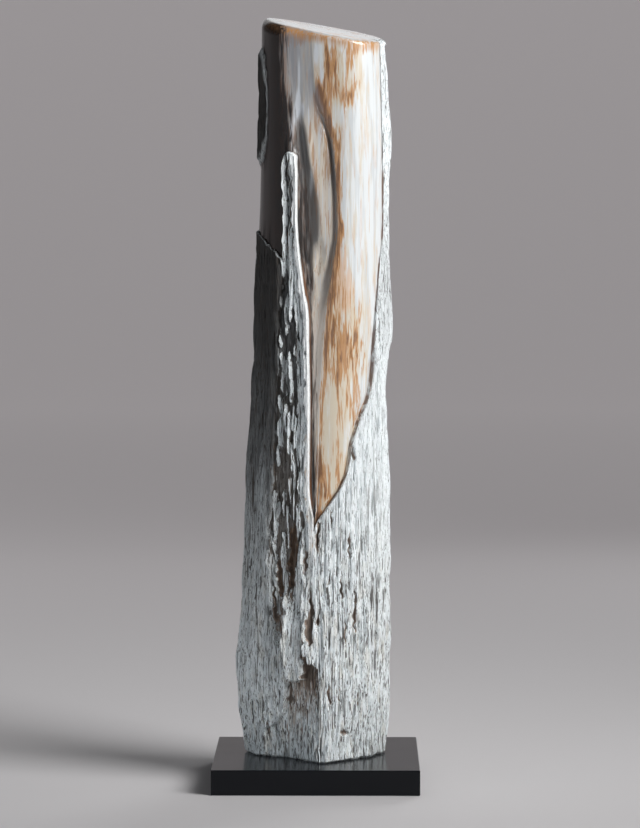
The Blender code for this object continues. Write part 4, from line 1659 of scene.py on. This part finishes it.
@dataclass(frozen=True)
class Lamp:
    """A rectangular studio light."""

    name: str
    place: tuple[float, float, float]
    aim: tuple[float, float, float]
    size: tuple[float, float]
    power: float
    colour: Colour
    spread: float

    def build(self) -> bpy.types.Object:
        """Hang the light, out of the camera's sight.

        Returns:
            The light.
        """
        data = bpy.data.lights.new(self.name, "AREA")
        data.shape = "RECTANGLE"
        data.size, data.size_y = self.size
        data.energy = self.power
        data.color = self.colour
        data.spread = math.radians(self.spread)
        lamp = linked(self.name, data)
        lamp.location = self.place
        way = Vector(self.aim) - Vector(self.place)
        lamp.rotation_euler = way.to_track_quat("-Z", "Y").to_euler()
        lamp.visible_camera = False
        return lamp


@dataclass
class Studio:
    """A pale paper bowl round the object, the lights, the ambient light and the camera."""

    floor_radius: float = 7.0
    wall_radius: float = 2.5
    wall_height: float = 6.0
    steps: int = 96
    arc_steps: int = 10
    finish: StudioFinish = field(default_factory=StudioFinish)
    ambient: Colour = (0.80, 0.90, 1.0)
    ambient_strength: float = 0.02
    camera_place: tuple[float, float, float] = (0.0436, -4.0, 0.700)
    camera_pitch: float = 3.726
    camera_yaw: float = 0.565
    camera_lens: float = 145.6
    lamps: tuple[Lamp, ...] = (
        Lamp("key", (1.80, -1.17, 1.95), (0, 0, 0.66), (1.4, 1.6), 15.6, (0.985, 0.99, 1.0), 66),
        Lamp("low fill", (-1.5, -2.0, 0.20), (0, 0, 0.12), (0.9, 0.4), 1.55, (0.80, 0.91, 1.0), 70),
        Lamp("back", (0.0, 4.2, 2.5), (0, 0, 0.6), (4.5, 2.2), 3.0, (0.97, 0.98, 1.0), 60),
        Lamp("behind", (1.6, 3.2, 1.2), (0, 0, 0.5), (1.6, 1.4), 6.0, (0.98, 0.99, 1.0), 60),
    )

    def bowl(self) -> bpy.types.Object:
        """The floor, turned up into a wall all round.

        Returns:
            The bowl, with its paper.
        """
        profile = [(0.0, 0.0), (self.floor_radius, 0.0)]
        for turn in np.linspace(0, math.pi / 2, self.arc_steps + 1)[1:]:
            out, up = math.sin(turn), 1 - math.cos(turn)
            profile.append((self.floor_radius + self.wall_radius * out, self.wall_radius * up))
        profile.append((self.floor_radius + self.wall_radius, self.wall_height))
        bm = bmesh.new()
        line = [bm.verts.new((radius, 0, height)) for radius, height in profile]
        edges = [bm.edges.new(pair) for pair in zip(line, line[1:])]
        bmesh.ops.spin(
            bm, geom=line + edges, cent=(0, 0, 0), axis=(0, 0, 1), angle=math.tau,
            steps=self.steps, use_merge=True,
        )
        bmesh.ops.remove_doubles(bm, verts=bm.verts, dist=0.0001)
        bmesh.ops.recalc_face_normals(bm, faces=bm.faces)
        mesh = smoothed("studio_bowl", bm)
        mesh.materials.append(self.finish.material())
        return linked("studio_bowl", mesh)

    def camera(self) -> bpy.types.Object:
        """The camera, level with the stone's shoulder and tipped a little down.

        Returns:
            The camera, made the scene's own.
        """
        data = bpy.data.cameras.new("camera")
        data.sensor_width = 36.0
        data.lens = self.camera_lens
        data.clip_end = 60.0
        made = linked("camera", data)
        made.location = self.camera_place
        made.rotation_euler = (math.radians(90 - self.camera_pitch), 0, math.radians(self.camera_yaw))
        bpy.context.scene.camera = made
        return made

    def build(self) -> None:
        """Set up the studio."""
        self.bowl()
        for lamp in self.lamps:
            lamp.build()
        world = bpy.data.worlds.new("studio air")
        world.use_nodes = True
        air = world.node_tree.nodes["Background"]
        air.inputs["Color"].default_value = (*self.ambient, 1.0)
        air.inputs["Strength"].default_value = self.ambient_strength
        bpy.context.scene.world = world
        bpy.context.scene.view_settings.view_transform = "Standard"
        self.camera()
        LOG.info("studio: %d lamps", len(self.lamps))


def main() -> None:
    """Build the pieces in order."""
    logging.basicConfig(level=logging.INFO, format="%(name)s: %(message)s")
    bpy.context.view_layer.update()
    Studio().build()
    Plinth().build()
    PetrifiedColumn().build()


if __name__ == "__main__":
    main()
